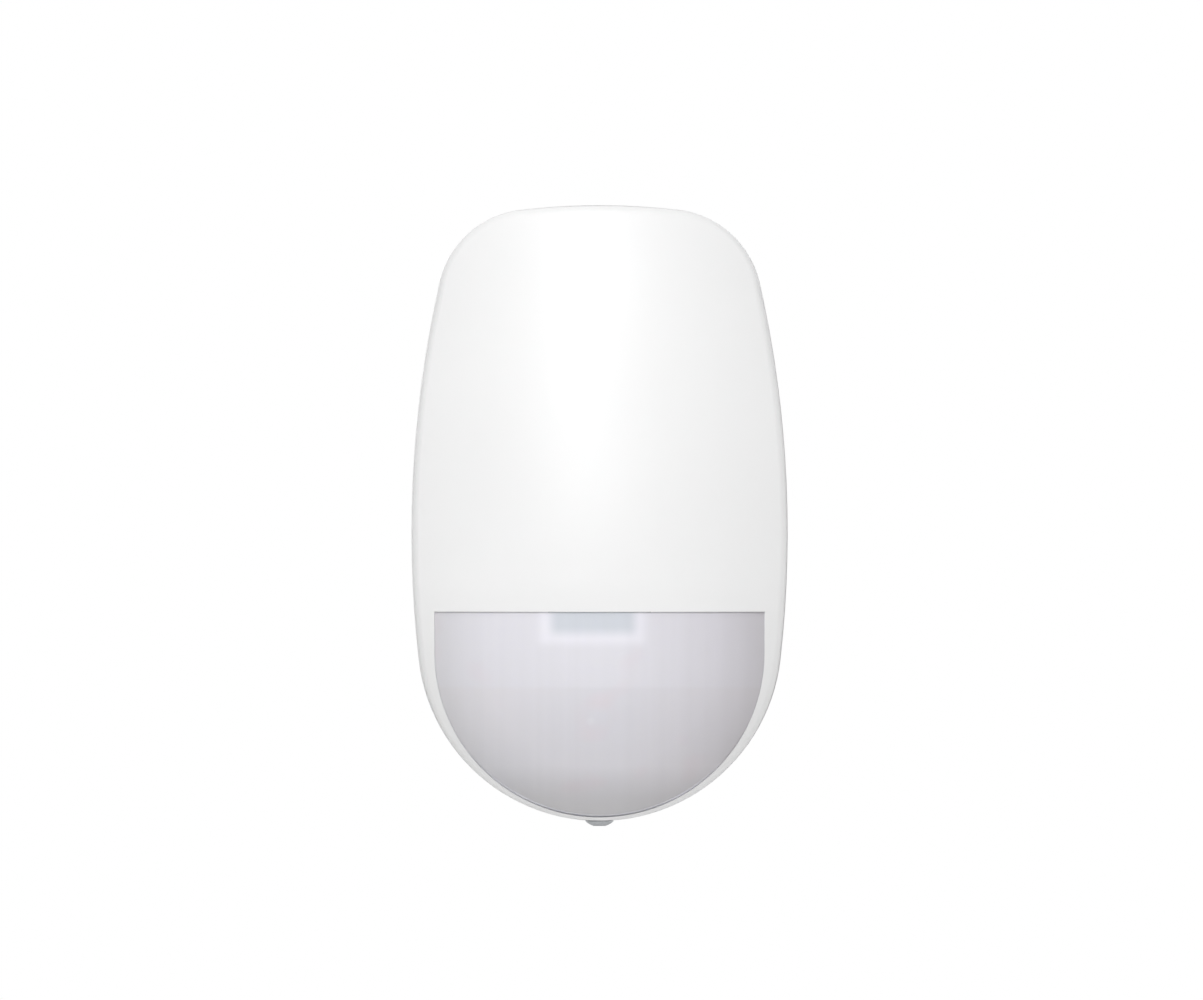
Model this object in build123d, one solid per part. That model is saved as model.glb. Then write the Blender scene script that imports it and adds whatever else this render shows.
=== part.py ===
from build123d import *

import os
from math import asin, atan2, cos, degrees, hypot, radians, sin, sqrt

# Wall-mounted motion sensor. Millimetres, +Z up, the wall is the plane Y = 0 and the
# front faces -Y. The origin is the middle of the wall face.

# ---------------------------------------------------------------- housing form
body_w = 65.5            # widest width, a little below half height
body_h = 107.1           # height of the housing
body_d = 48.5            # wall face to the foremost point of the cover
chin_set_in = 1.05       # the bottom arc's radius is this much under half the width
flank_r = 196.5          # long side arcs of the front outline
brow_r = 121.0           # top arc of the front outline
corner_r = 16.3          # arcs between the brow and the flanks
crown_axis_y = 14.0      # the front is turned about an upright axis this far behind the wall
peak_up = 41.55          # bottom edge to the height where the front stands furthest out
slope_r = 155.0          # side-view arc above the peak
belly_over = 2.65        # the arc below the peak is this much larger than peak_up
form_past = 1.0          # the turned form runs this far past the top and bottom edges
side_draft = 0.75        # degrees, the side walls lean in towards the front
rim_fillet = 2.0         # soft edge between side walls and front

# ---------------------------------------------------------------- front cover
cover_wall = 2.0
cover_reveal = 0.15      # the cover stands this far inside the back plate's edge
parting_gap = 0.3        # between back plate and cover
post_r = 3.0             # board posts moulded in the cover
high_post_side = 12.25   # from the widest side of the housing
high_post_drop = 7.0     # from the board's top edge
low_post_side = 7.15
low_post_up = 7.9        # above the lens's top edge
shelf_up = 9.0           # ledges on the side walls, above the board's bottom edge
shelf_h = 7.0
shelf_t = 3.0
shelf_lap = 1.8          # how far the board lies over a ledge

# ---------------------------------------------------------------- lens
lens_side = 4.35         # cover left beside the lens, at the widest side
lens_foot = 0.95         # cover left below the lens
lens_h = 35.7
lens_t = 0.8
lens_recess = 0.3        # lens face below the cover face
lens_gap = 0.07          # all round the lens edge
lens_seat_gap = 0.05     # between the lens's rim and its ledge
lens_ledge = 1.5         # width of the ledge that carries the lens
clip_w = 4.0             # snap clips behind the lens
clip_t = 0.9
clip_reach = 1.2         # clip length past the back of the ledge
clip_hook = 0.6
clip_ear_gap = 0.85      # between a top clip and the ear of the light guide's frame
clip_side_drop = 7.6     # side clips, below the lens's top edge

# ---------------------------------------------------------------- back plate
plate_t = 2.4
plate_rim_w = 3.2
plate_rim_h = 3.5        # wall face to the top of the rim, where the cover meets it
lip_t = 1.3              # upstanding lip inside the cover's wall
lip_h = 2.0
lip_gap = 0.35
lip_top_drop = 20.55     # the lip ends this far below the top
rib_t = 1.2
rib_h = 1.4
rib_x = 13.0
rib_end = 22.55          # from the housing's top and bottom edges
wall_hole_r = 2.25
wall_hole_z = 36.0       # above and below the middle
wall_boss_r = 4.6
wall_boss_h = 0.9
relief_depth = 0.8       # shallow hollows in the wall face, between its rim and its webs
relief_rim = 4.0
relief_web = 18.0
knockout_w = 14.0
knockout_h = 8.0
groove_w = 0.8
groove_depth = 0.9

# ---------------------------------------------------------------- hinge at the top
hinge_y = -7.0
hinge_drop = 3.15        # hinge axis below the top of the housing
hinge_x = 9.0            # middle of each hook
hook_w = 3.0
hook_t = 2.0
hook_angle = -50.0       # degrees, direction from the bar down to the plate
hook_web_from = 4.0      # the hook thickens from here, measured from the hinge axis
bar_r = 1.2
bar_len = 7.4
bar_clearance = 0.05
saddle_side_gap = 0.3
saddle_r = 2.9
saddle_lip = 0.95        # how far the bearing's mouth opens above the axis, at its back
saddle_toe = 4.05        # and in front of the axis, below
nose_r = 3.3             # the cover's top edge rolls about the hinge axis
nose_gap = 0.25
hook_relief = 1.3        # height of the notch over each hook, from the axis
hook_relief_back = 0.3   # the notch starts this far in front of the axis
brow_deep = 20.0         # size of the block that trims round the hinge

# ---------------------------------------------------------------- housing screw at the bottom
screw_y = -9.0
screw_r = 1.5
screw_head_r = 2.45
screw_head_h = 1.1
screw_head_rim = 0.15    # upright edge of the domed head
drive_r = 1.1            # six-sided drive recess
drive_depth = 0.8
screw_head_gap = 0.08
screw_travel = 4.0
screw_slot_clearance = 0.25
lug_w = 9.0
lug_t = 4.5
lug_gap = 0.6            # over the cover's bottom wall, which rises as the cover swings out
lug_front = 4.0          # lug beyond the screw axis
insert_r = 2.1
insert_fit = 0.03
insert_groove_depth = 0.25
insert_groove_w = 0.75
gusset_foot = 3.0        # webs over the lug
gusset_h = 9.0
thread_clearance = 0.05
ring_r = 2.5
ring_t = 0.6
ring_gap = 0.2
ring_root_r = 1.1        # bottom of the groove in the screw
ring_fit = 0.05

# ---------------------------------------------------------------- circuit board
board_y = -12.0          # rear face
board_t = 1.6
board_edge_gap = 0.7
board_top_gap = 9.55     # below the top of the housing
board_bottom_gap = 9.55  # above its bottom
board_well_corner = 1.0
board_screw_head_r = 2.2
board_screw_head_h = 1.5
board_screw_r = 1.0
board_screw_edge = 0.5
board_bore_depth = 7.0
board_bore_left = 1.0    # free depth below the screw's tip
board_bore_clearance = 0.1
board_hole_clearance = 0.25

# ---------------------------------------------------------------- pyroelectric sensor
pyro_drop = 15.1         # below the lens's top edge
pyro_standoff = 0.6
pyro_flange_r = 4.55
pyro_flange_t = 0.6
pyro_can_r = 4.1
pyro_can_h = 4.0
pyro_can_wall = 0.35
pyro_can_edge = 0.4
pyro_foot_margin = 1.0   # spacer past the leads
pyro_window_w = 4.6
pyro_window_h = 3.4
pyro_window_t = 0.5
pyro_window_lap = 0.5
lead_r = 0.23
lead_hole_r = 0.45
lead_circle_r = 2.5
lead_tail = 1.6
hood_t = 1.1
hood_foot_r = 6.2
hood_mouth_r = 12.0
hood_depth = 13.0
hood_foot_h = 2.5
hood_seat_gap = 0.1
hood_guide_gap = 0.3      # under the light guide, where the funnel is cut flat

# ---------------------------------------------------------------- light guide and status light
guide_w = 17.4
guide_h = 3.9
guide_top_gap = 0.1      # under the lens's top edge
guide_tail_w = 5.0
guide_tail_h = 2.6
guide_lens_gap = 0.3
guide_fit = 0.15
bezel_t = 1.3
bezel_depth = 9.0         # foremost point of the cover to the back of the frame
bezel_notch_gap = 0.3     # round the bezel where it passes the lens ledge
bezel_ear_w = 6.0
bezel_ear_h = 7.0
bezel_ear_t = 1.6
peg_r = 1.0
peg_fit = 0.1
peg_tail = 1.0
led_w = 3.4
led_h = 2.6
led_t = 1.7
led_edge = 0.3
led_guide_gap = 0.3

# ---------------------------------------------------------------- battery
cell_r = 8.4
cell_len = 33.4
cell_nub_r = 3.2
cell_nub_len = 1.0
cell_edge = 0.7
cell_y = -15.6
cell_drop = 22.0         # below the board's top edge
cell_clearance = 0.25
holder_t = 1.2
holder_back_y = -9.2
holder_flange_w = 1.6
holder_flange_t = 1.2
holder_board_gap = 0.3
holder_corner = 2.0
finger_r = 3.5           # finger cut-outs in the end walls
contact_t = 0.4
contact_w = 6.0
contact_space_pos = 1.2
contact_space_neg = 3.4
contact_gap = 0.05
contact_disc_r = 2.0

# ---------------------------------------------------------------- switches on the board's rear
switch_up = 24.0         # both switches, above the board's bottom edge
switch_floor = 0.3       # bottom of a switch's bore
switch_rest = 0.2        # left under a plunger that is pressed right in
plunger_clearance = 0.06
plunger_edge = 0.4
tamper_side = 13.75      # from the widest side of the housing
tamper_case = 6.2
tamper_case_t = 3.8
tamper_case_edge = 0.4
tamper_plunger_r = 1.3
tamper_plunger_out = 2.6
pillar_r = 3.0
pillar_gap = 0.1
pillar_breakout = 2.0    # break-out line round the pillar
enrol_side = 15.75
enrol_case = 6.0
enrol_case_t = 3.0
enrol_case_edge = 0.6
enrol_cap_r = 1.75
enrol_cap_out = 1.4
enrol_travel = 0.25

# ---------------------------------------------------------------- other board parts
chip_w = 7.0
chip_t = 1.0
chip_x = -11.0
chip_drop = 23.0         # below the cell's axis
shield_w = 18.0
shield_h = 8.0
shield_t = 2.4
shield_edge = 0.4
shield_drop = 5.4        # below the board's top edge
antenna_w = 24.0
antenna_h = 4.0
antenna_t = 0.4
antenna_leg_w = 1.6
antenna_leg_step = 4.0   # between the middles of the two legs
antenna_drop = 3.5       # below the board's top edge
cap_r = 3.15
cap_h = 5.6
cap_edge = 0.4
cap_foot_t = 0.8
cap_foot_lip = 0.2
cap_x = 12.0
cap_drop = 24.0          # below the cell's axis
solder_gap = 0.05        # between a part's underside and the board

# ---------------------------------------------------------------- values that follow
past = 5.0               # cutters run this far past what they cut
bottom_z = -body_h / 2
top_z = body_h / 2
chin_r = body_w / 2 - chin_set_in
crown_r = body_d + crown_axis_y
peak_z = bottom_z + peak_up
belly_r = peak_up + belly_over
slope_sweep = degrees(asin((top_z - peak_z + form_past) / slope_r))
belly_sweep = degrees(asin((peak_up + form_past) / belly_r))
cover_back = -(plate_rim_h + parting_gap)
hinge_z = top_z - hinge_drop
lens_w = body_w - 2 * lens_side
lens_bottom_z = bottom_z + lens_foot
lens_top_z = lens_bottom_z + lens_h
lens_back = lens_recess + lens_t
ledge_depth = lens_back + lens_seat_gap
board_front = board_y - board_t
board_top_z = top_z - board_top_gap
board_bottom_z = bottom_z + board_bottom_gap
high_post_x = body_w / 2 - high_post_side
high_post_z = board_top_z - high_post_drop
low_post_x = body_w / 2 - low_post_side
low_post_z = lens_top_z + low_post_up
shelf_z = board_bottom_z + shelf_up
lug_floor_z = bottom_z + cover_reveal + cover_wall + lug_gap
lug_top_z = lug_floor_z + lug_t
ring_z = lug_top_z + screw_travel + ring_gap
screw_seat_z = bottom_z + cover_reveal - screw_head_gap
pyro_z = lens_top_z - pyro_drop
pyro_foot = board_front - pyro_standoff
pyro_face = pyro_foot - pyro_flange_t - pyro_can_h
guide_mid_z = lens_top_z - guide_top_gap - guide_h / 2
bezel_back_y = bezel_depth - body_d
bezel_w = guide_w + 2 * (guide_fit + bezel_t)
peg_x = (bezel_w + bezel_ear_w) / 2
peg_z = lens_top_z + lens_ledge + bezel_ear_h / 2
clip_top_x = peg_x + (bezel_ear_w + clip_w) / 2 + clip_ear_gap
clip_side_z = lens_top_z - clip_side_drop
cell_z = board_top_z - cell_drop
cell_x = (contact_space_neg - contact_space_pos - cell_nub_len) / 2
holder_len = cell_len + cell_nub_len + contact_space_pos + contact_space_neg + 2 * holder_t
tamper_x = tamper_side - body_w / 2
tamper_z = board_bottom_z + switch_up
enrol_x = body_w / 2 - enrol_side
enrol_z = board_bottom_z + switch_up
chip_z = cell_z - chip_drop
shield_z = board_top_z - shield_drop
antenna_z = board_top_z - antenna_drop
cap_z = cell_z - cap_drop


def up_to(y_back, y_front, sketch, taper=0.0):
    """A solid with this front-view section, from y_back forward to y_front."""
    return extrude(Plane.XZ.offset(-y_back) * sketch, amount=y_back - y_front, taper=taper)


def along_x(sketch, x_from, x_to):
    """A solid with this side-view section (local x is Y, local y is Z)."""
    plane = Plane(origin=(x_from, 0, 0), x_dir=(0, 1, 0), z_dir=(1, 0, 0))
    return extrude(plane * sketch, amount=x_to - x_from)


def block(x_size, z_size, x=0.0, z=0.0):
    return Pos(x, z) * Rectangle(x_size, z_size)


def disc(radius, x=0.0, z=0.0):
    return Pos(x, z) * Circle(radius)


def hinge_roller(radius, half_len, x=0.0):
    """A cylinder on the hinge axis."""
    return Pos(x, hinge_y, hinge_z) * Rot(0, 90, 0) * Cylinder(radius, 2 * half_len)


# ---------------------------------------------------------------- housing outlines
def circle_meet(x1, z1, r1, x2, z2, r2):
    """The meeting point, on the right, of two circles."""
    dx, dz = x2 - x1, z2 - z1
    gap = hypot(dx, dz)
    run = (gap * gap + r1 * r1 - r2 * r2) / (2 * gap)
    rise = sqrt(r1 * r1 - run * run)
    points = [(x1 + (run * dx + s * rise * dz) / gap, z1 + (run * dz - s * rise * dx) / gap) for s in (1, -1)]
    return max(points)


def housing_outline(inset=0.0):
    """Front outline: bottom, flank, corner and brow arcs, each tangent to the next."""
    chin_z = bottom_z + chin_r
    flank_x = body_w / 2 - flank_r
    flank_z = chin_z + sqrt((flank_r - chin_r) ** 2 - flank_x ** 2)
    brow_z = top_z - brow_r
    corner_x, corner_z = circle_meet(flank_x, flank_z, flank_r - corner_r, 0, brow_z, brow_r - corner_r)
    low = degrees(atan2(chin_z - flank_z, -flank_x))
    mid = degrees(atan2(corner_z - flank_z, corner_x - flank_x))
    high = degrees(atan2(corner_z - brow_z, corner_x))
    arcs = [
        CenterArc((0, chin_z), chin_r - inset, 180 - low, 180 + 2 * low),
        CenterArc((flank_x, flank_z), flank_r - inset, low, mid - low),
        CenterArc((corner_x, corner_z), corner_r - inset, mid, high - mid),
        CenterArc((0, brow_z), brow_r - inset, high, 180 - 2 * high),
        CenterArc((-corner_x, corner_z), corner_r - inset, 180 - high, high - mid),
        CenterArc((-flank_x, flank_z), flank_r - inset, 180 - mid, mid - low),
    ]
    return make_face(arcs)


def lens_outline(inset=0.0):
    """The lens seen from the front: a straight top edge over a half circle."""
    radius = lens_w / 2 - inset
    centre_z = lens_bottom_z + lens_w / 2
    top = lens_top_z - inset
    edges = [
        CenterArc((0, centre_z), radius, 180, 180),
        Polyline((radius, centre_z), (radius, top), (-radius, top), (-radius, centre_z)),
    ]
    return make_face(edges)


def front_body(inset=0.0):
    """The round of the front, turned about its upright axis; inset is measured square to it."""
    slope_x = crown_r - slope_r
    belly_x = crown_r - belly_r
    slope = CenterArc((slope_x, peak_z), slope_r - inset, 0, slope_sweep)
    belly = CenterArc((belly_x, peak_z), belly_r - inset, -belly_sweep, belly_sweep)
    head, foot = slope @ 1, belly @ 0
    ends = Polyline(head, (0, head.Y), (0, foot.Y), foot)
    profile = Plane.XZ * make_face([belly, slope, ends])
    return Pos(0, crown_axis_y, 0) * revolve(profile, Axis.Z)


def cover_space(inset=0.0):
    """The cover's outer form, drawn in by inset on every side but the open back."""
    sides = up_to(cover_back, -body_d - past, housing_outline(cover_reveal + inset), side_draft)
    return sides & front_body(inset)


def soft_rim(body):
    """Round the edge between side walls and front; seams and the back edge stay as they are."""
    def on_rim(edge):
        box = edge.bounding_box()
        flat = box.max.Z - box.min.Z < 0.01 and abs(edge.center().Z - peak_z) < 0.01
        return edge.geom_type != GeomType.LINE and box.min.Y < cover_back - 1 and not flat

    return fillet(body.edges().filter_by(on_rim), rim_fillet)


# ---------------------------------------------------------------- cover features
def board_post(x, z):
    """A post from the board forward into the front wall, with its screw bore."""
    post = up_to(board_front, -body_d, disc(post_r, x, z))
    bore = up_to(board_front, board_front - board_bore_depth, disc(board_screw_r + board_bore_clearance, x, z))
    return post - bore


def board_shelf(side):
    """A ledge on the side wall under the edge of the board."""
    edge = board_outline_half_width(shelf_z)
    width = 2 * cover_wall + shelf_lap
    x = side * (edge - shelf_lap + width / 2)
    return up_to(board_front, board_front - shelf_t, block(width, shelf_h, x, shelf_z))


def board_outline_half_width(z):
    """Half the width of the board at a height within the flank and chin arcs."""
    chin_z = bottom_z + chin_r
    radius = chin_r - cover_reveal - cover_wall - board_edge_gap
    return sqrt(radius ** 2 - (z - chin_z) ** 2)


def peg(side):
    """A heat-staked peg for an ear of the guide's bezel."""
    return up_to(bezel_back_y + peg_tail, -body_d, disc(peg_r, side * peg_x, peg_z))


def saddle_ring(x):
    """Round-bored bearing in front of and over a hook's bar, open to the back and below."""
    ring = hinge_roller(saddle_r, (bar_len - hook_w) / 4 - saddle_side_gap / 2, x)
    reach = 2 * saddle_r
    mouth = Polyline((0, 0), (reach, saddle_lip), (reach, -reach), (-saddle_toe, -reach), (0, 0))
    wedge = along_x(Pos(hinge_y, hinge_z) * make_face(mouth), -body_w, body_w)
    return ring - wedge


def make_front_cover():
    cover = soft_rim(cover_space()) - cover_space(cover_wall)
    room = cover_space(cover_wall / 2)
    for side in (-1, 1):
        cover += board_post(side * high_post_x, high_post_z) & room
        cover += board_post(side * low_post_x, low_post_z) & room
        cover += board_shelf(side) & room
        cover += peg(side) & room
        for hand in (-1, 1):
            offset = hand * (hook_w + (bar_len - hook_w) / 2) / 2
            cover += saddle_ring(side * hinge_x + offset) & room
    # lens seat and opening
    cover -= up_to(0, -body_d - past, lens_outline()) - front_body(ledge_depth)
    cover -= up_to(board_front - shelf_t, -body_d - past, lens_outline(lens_ledge))
    notch_w = bezel_w + 2 * bezel_notch_gap
    cover -= up_to(bezel_back_y, -body_d - past, block(notch_w, 2 * lens_ledge, 0, lens_top_z - lens_ledge))
    # top edge: rolls about the hinge axis, with bores for the bars and notches for the hooks
    corner = Pos(0, hinge_y + brow_deep / 2, hinge_z + brow_deep / 2) * Box(body_w, brow_deep, brow_deep)
    cover -= corner - hinge_roller(nose_r, body_w)
    notch_mid = ((brow_deep / 2 - hook_relief_back) / 2, (hook_relief - brow_deep / 2) / 2)
    notch = Pos(notch_mid) * Rectangle(brow_deep / 2 + hook_relief_back, brow_deep / 2 + hook_relief)
    for side in (-1, 1):
        x = side * hinge_x
        cover -= hinge_roller(bar_r + bar_clearance, bar_len / 2 + saddle_side_gap, x)
        half = hook_w / 2 + saddle_side_gap
        cover -= along_x(Pos(hinge_y, hinge_z) * notch, x - half, x + half)
    # open slot in the bottom wall for the housing screw
    slot_r = screw_r + screw_slot_clearance
    slot = Pos(0, screw_y, bottom_z) * Cylinder(slot_r, 4 * cover_wall)
    slot += Pos(0, screw_y / 2, bottom_z) * Box(2 * slot_r, -screw_y, 4 * cover_wall)
    return cover - slot


# ---------------------------------------------------------------- lens
def lens_layer(sketch, outer, inner):
    """A layer of the front round, between two depths, cut to this outline."""
    return up_to(0, -body_d - past, sketch) & (front_body(outer) - front_body(inner))


def lens_clip(x, z, along_top):
    """A snap clip: a prong through the opening and a hook behind the ledge."""
    inner = lens_ledge + lens_gap
    hook_from = cover_wall + lens_gap
    if along_top:
        prong = block(clip_w, clip_t, x, lens_top_z - inner - clip_t / 2)
        hook = block(clip_w, clip_t + clip_hook, x, lens_top_z - inner - (clip_t - clip_hook) / 2)
    else:
        side = 1 if x > 0 else -1
        edge = lens_w / 2 - inner
        prong = block(clip_t, clip_w, side * (edge - clip_t / 2), z)
        hook = block(clip_t + clip_hook, clip_w, side * (edge - (clip_t - clip_hook) / 2), z)
    end = cover_wall + clip_reach
    return lens_layer(prong, lens_back, end) + lens_layer(hook, hook_from, end)


def make_lens():
    lens = lens_layer(lens_outline(lens_gap), lens_recess, lens_recess + lens_t)
    for side in (-1, 1):
        lens += lens_clip(side * clip_top_x, 0, True)
        lens += lens_clip(side * lens_w / 2, clip_side_z, False)
    return lens


# ---------------------------------------------------------------- back plate
def ring_groove(sketch, width=groove_w, depth=groove_depth):
    """A break-out line in the front of the plate round a knock-out."""
    outer = offset(sketch, width / 2)
    inner = offset(sketch, -width / 2)
    return up_to(-(plate_t - depth), -plate_t, outer - inner)


def hinge_hook(x):
    """A hook from the plate up to a round bar on the hinge axis."""
    length = (-plate_t / 2 - hinge_y) / cos(radians(hook_angle))
    strip = Rot(0, 0, hook_angle) * Pos(length / 2, 0) * Rectangle(length, hook_t)
    arm = along_x(Pos(hinge_y, hinge_z) * strip, x - hook_w / 2, x + hook_w / 2)
    web = Polyline((0, 0), (length, 0), (length, -hook_t), (hook_web_from, -hook_t), (0, 0))
    arm += along_x(Pos(hinge_y, hinge_z) * Rot(0, 0, hook_angle) * make_face(web), x - hook_w / 2, x + hook_w / 2)
    return arm + hinge_roller(bar_r, bar_len / 2, x)


def screw_lug():
    """The shelf over the cover's bottom wall that the housing screw threads into."""
    room = up_to(-plate_t / 2, -body_d, housing_outline(cover_reveal + cover_wall + lug_gap))
    depth = -screw_y + lug_front
    lug = Pos(0, -depth / 2, lug_floor_z + lug_t / 2) * Box(lug_w, depth, lug_t)
    foot = -plate_t - gusset_foot
    gusset = Polyline((-plate_t / 2, 0), (foot, 0), (-plate_t / 2, gusset_h), (-plate_t / 2, 0))
    for side in (-1, 1):
        edge = side * lug_w / 2
        x_from, x_to = sorted((edge, edge - side * rib_t))
        lug += along_x(Pos(0, lug_top_z) * make_face(gusset), x_from, x_to)
    bore = Pos(0, screw_y, lug_floor_z) * Cylinder(insert_r + insert_fit, 4 * lug_t)
    return (lug & room) - bore


def tamper_pillar():
    """The pillar that presses the tamper switch, on a break-out disc of the plate."""
    tip = board_y + tamper_case_t + tamper_plunger_out + pillar_gap
    return up_to(-plate_t / 2, tip, disc(pillar_r, tamper_x, tamper_z))


def make_back_plate():
    plate = up_to(0, -plate_t, housing_outline())
    rim = housing_outline() - housing_outline(plate_rim_w)
    plate += up_to(-plate_t / 2, -plate_rim_h, rim)
    lip_in = cover_reveal + cover_wall + lip_gap
    lip = housing_outline(lip_in) - housing_outline(lip_in + lip_t)
    lip_cut = block(body_w, body_h, 0, -lip_top_drop)
    plate += up_to(-plate_t / 2, -plate_rim_h - lip_h, lip & lip_cut)
    # raised edge at the top, hollowed for the cover's rolling nose
    brow = up_to(-plate_t / 2, hinge_y, housing_outline())
    brow &= Pos(0, 0, hinge_z + brow_deep / 2) * Box(body_w, 2 * brow_deep, brow_deep)
    plate += brow - hinge_roller(nose_r + nose_gap, body_w)
    for side in (-1, 1):
        plate += up_to(-plate_t / 2, -plate_t - rib_h, block(rib_t, body_h - 2 * rib_end, side * rib_x))
        plate += hinge_hook(side * hinge_x)
        boss_z = side * wall_hole_z
        plate += up_to(-plate_t / 2, -plate_t - wall_boss_h, disc(wall_boss_r, 0, boss_z))
    plate += screw_lug()
    plate += tamper_pillar()
    for side in (-1, 1):
        plate -= up_to(past, -plate_t - past, disc(wall_hole_r, 0, side * wall_hole_z))
    webs = block(relief_web, body_h) + block(body_w, relief_web)
    plate -= up_to(past, -relief_depth, housing_outline(relief_rim) - webs)
    plate -= ring_groove(Rectangle(knockout_w, knockout_h))
    plate -= ring_groove(disc(pillar_r + pillar_breakout, tamper_x, tamper_z))
    return plate


# ---------------------------------------------------------------- housing screw
def make_screw():
    tip = ring_z + 2 * ring_t
    shank = Pos(0, screw_y, (screw_seat_z + tip) / 2) * Cylinder(screw_r, tip - screw_seat_z)
    groove_h = ring_t + 2 * ring_fit
    groove = Cylinder(screw_r + 1, groove_h) - Cylinder(ring_root_r, groove_h)
    shank -= Pos(0, screw_y, ring_z + ring_t / 2) * groove
    dome_h = screw_head_h - screw_head_rim
    dome_r = (screw_head_r ** 2 + dome_h ** 2) / (2 * dome_h)
    head = Pos(0, screw_y, screw_seat_z - screw_head_h / 2) * Cylinder(screw_head_r, screw_head_h)
    head &= Pos(0, screw_y, screw_seat_z - screw_head_h + dome_r) * Sphere(dome_r)
    drive = Pos(0, screw_y, screw_seat_z - screw_head_h) * extrude(RegularPolygon(drive_r, 6), amount=drive_depth)
    return shank + head - drive


def make_retaining_ring():
    """A snap ring in the groove near the screw's tip, open on one side."""
    ring = Cylinder(ring_r, ring_t) - Cylinder(ring_root_r + ring_fit, ring_t)
    ring -= Pos(0, ring_r, 0) * Box(2 * ring_root_r, 2 * ring_r, ring_t)
    return Pos(0, screw_y, ring_z + ring_t / 2) * Rot(0, 0, 180) * ring


def make_insert():
    """Brass insert in the lug, with a plain collar and two knurled bands kept as plain rings."""
    tube = Cylinder(insert_r, lug_t) - Cylinder(screw_r + thread_clearance, lug_t)
    groove = Cylinder(insert_r, insert_groove_w) - Cylinder(insert_r - insert_groove_depth, insert_groove_w)
    return Pos(0, screw_y, lug_floor_z + lug_t / 2) * (tube - groove)


# ---------------------------------------------------------------- circuit board
def board_holes():
    posts = [(high_post_x, high_post_z), (low_post_x, low_post_z)]
    return [(side * x, z) for x, z in posts for side in (-1, 1)]


def lead_places():
    """Three leads on a circle, as under a round metal can."""
    turn = (45, 135, 270)
    return [(lead_circle_r * cos(radians(a)), pyro_z + lead_circle_r * sin(radians(a))) for a in turn]


def make_board():
    sketch = housing_outline(cover_reveal + cover_wall + board_edge_gap)
    mid_z = (board_top_z + board_bottom_z) / 2
    sketch &= block(body_w, board_top_z - board_bottom_z, 0, mid_z)
    well_w = holder_len + 2 * holder_board_gap
    well_h = 2 * (cell_r + cell_clearance + holder_t + holder_board_gap)
    sketch -= Pos(0, cell_z) * RectangleRounded(well_w, well_h, board_well_corner)
    for x, z in board_holes():
        sketch -= disc(board_screw_r + board_hole_clearance, x, z)
    for x, z in lead_places():
        sketch -= disc(lead_hole_r, x, z)
    return up_to(board_y, board_front, sketch)


def make_board_screw(x, z):
    """Pan-head screw from the rear of the board into its post."""
    head = up_to(board_y + board_screw_head_h, board_y, disc(board_screw_head_r, x, z))
    head = chamfer(head.edges().group_by(Axis.Y)[-1], board_screw_edge)
    shank = up_to(board_y, board_front - board_bore_depth + board_bore_left, disc(board_screw_r, x, z))
    return head + shank


# ---------------------------------------------------------------- pyroelectric sensor
def make_pyro_header():
    header = up_to(pyro_foot, pyro_foot - pyro_flange_t, disc(pyro_flange_r, 0, pyro_z))
    spacer = up_to(board_front, pyro_foot, disc(lead_circle_r + pyro_foot_margin, 0, pyro_z))
    for x, z in lead_places():
        header += up_to(board_y + lead_tail, pyro_foot, disc(lead_r, x, z))
        spacer -= up_to(board_front, pyro_foot, disc(lead_hole_r, x, z))
    return header, spacer


def make_pyro_can():
    start = pyro_foot - pyro_flange_t
    can = up_to(start, pyro_face, disc(pyro_can_r, 0, pyro_z))
    can = chamfer(can.edges().group_by(Axis.Y)[0], pyro_can_edge)
    can -= up_to(start, pyro_face + pyro_can_wall, disc(pyro_can_r - pyro_can_wall, 0, pyro_z))
    return can - up_to(start, pyro_face - past, block(pyro_window_w, pyro_window_h, 0, pyro_z))


def make_pyro_window():
    back = pyro_face + pyro_can_wall + pyro_window_t
    pane = block(pyro_window_w + 2 * pyro_window_lap, pyro_window_h + 2 * pyro_window_lap, 0, pyro_z)
    return up_to(back, pyro_face + pyro_can_wall, pane)


def make_sensor_hood():
    """A funnel from the board round the sensor, flaring towards the lens."""
    def funnel(radius_in):
        lip = hood_foot_h + hood_depth
        return make_face(Polyline(
            (0, 0), (hood_foot_r - radius_in, 0), (hood_foot_r - radius_in, hood_foot_h),
            (hood_mouth_r - radius_in, lip), (0, lip), (0, 0)))

    hood = Pos(0, board_front - hood_seat_gap, pyro_z) * Rot(180, 0, 0) * revolve(funnel(0) - funnel(hood_t), Axis.Y)
    clear_z = guide_mid_z - guide_h / 2 - hood_guide_gap
    return hood - Pos(0, -body_d / 2, clear_z + hood_mouth_r) * Box(body_w, body_d, 2 * hood_mouth_r)


# ---------------------------------------------------------------- light guide
def make_light_guide():
    """A pipe of clear plastic that flares from the status light to the back of the lens."""
    tail_y = board_front - led_t - led_guide_gap
    tail = Plane.XZ.offset(-tail_y) * block(guide_tail_w, guide_tail_h, 0, guide_mid_z)
    mouth = Plane.XZ.offset(-bezel_back_y) * block(guide_w, guide_h, 0, guide_mid_z)
    pipe = loft([tail, mouth])
    pipe += up_to(bezel_back_y, -body_d, block(guide_w, guide_h, 0, guide_mid_z))
    return pipe & front_body(lens_back + guide_lens_gap)


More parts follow.
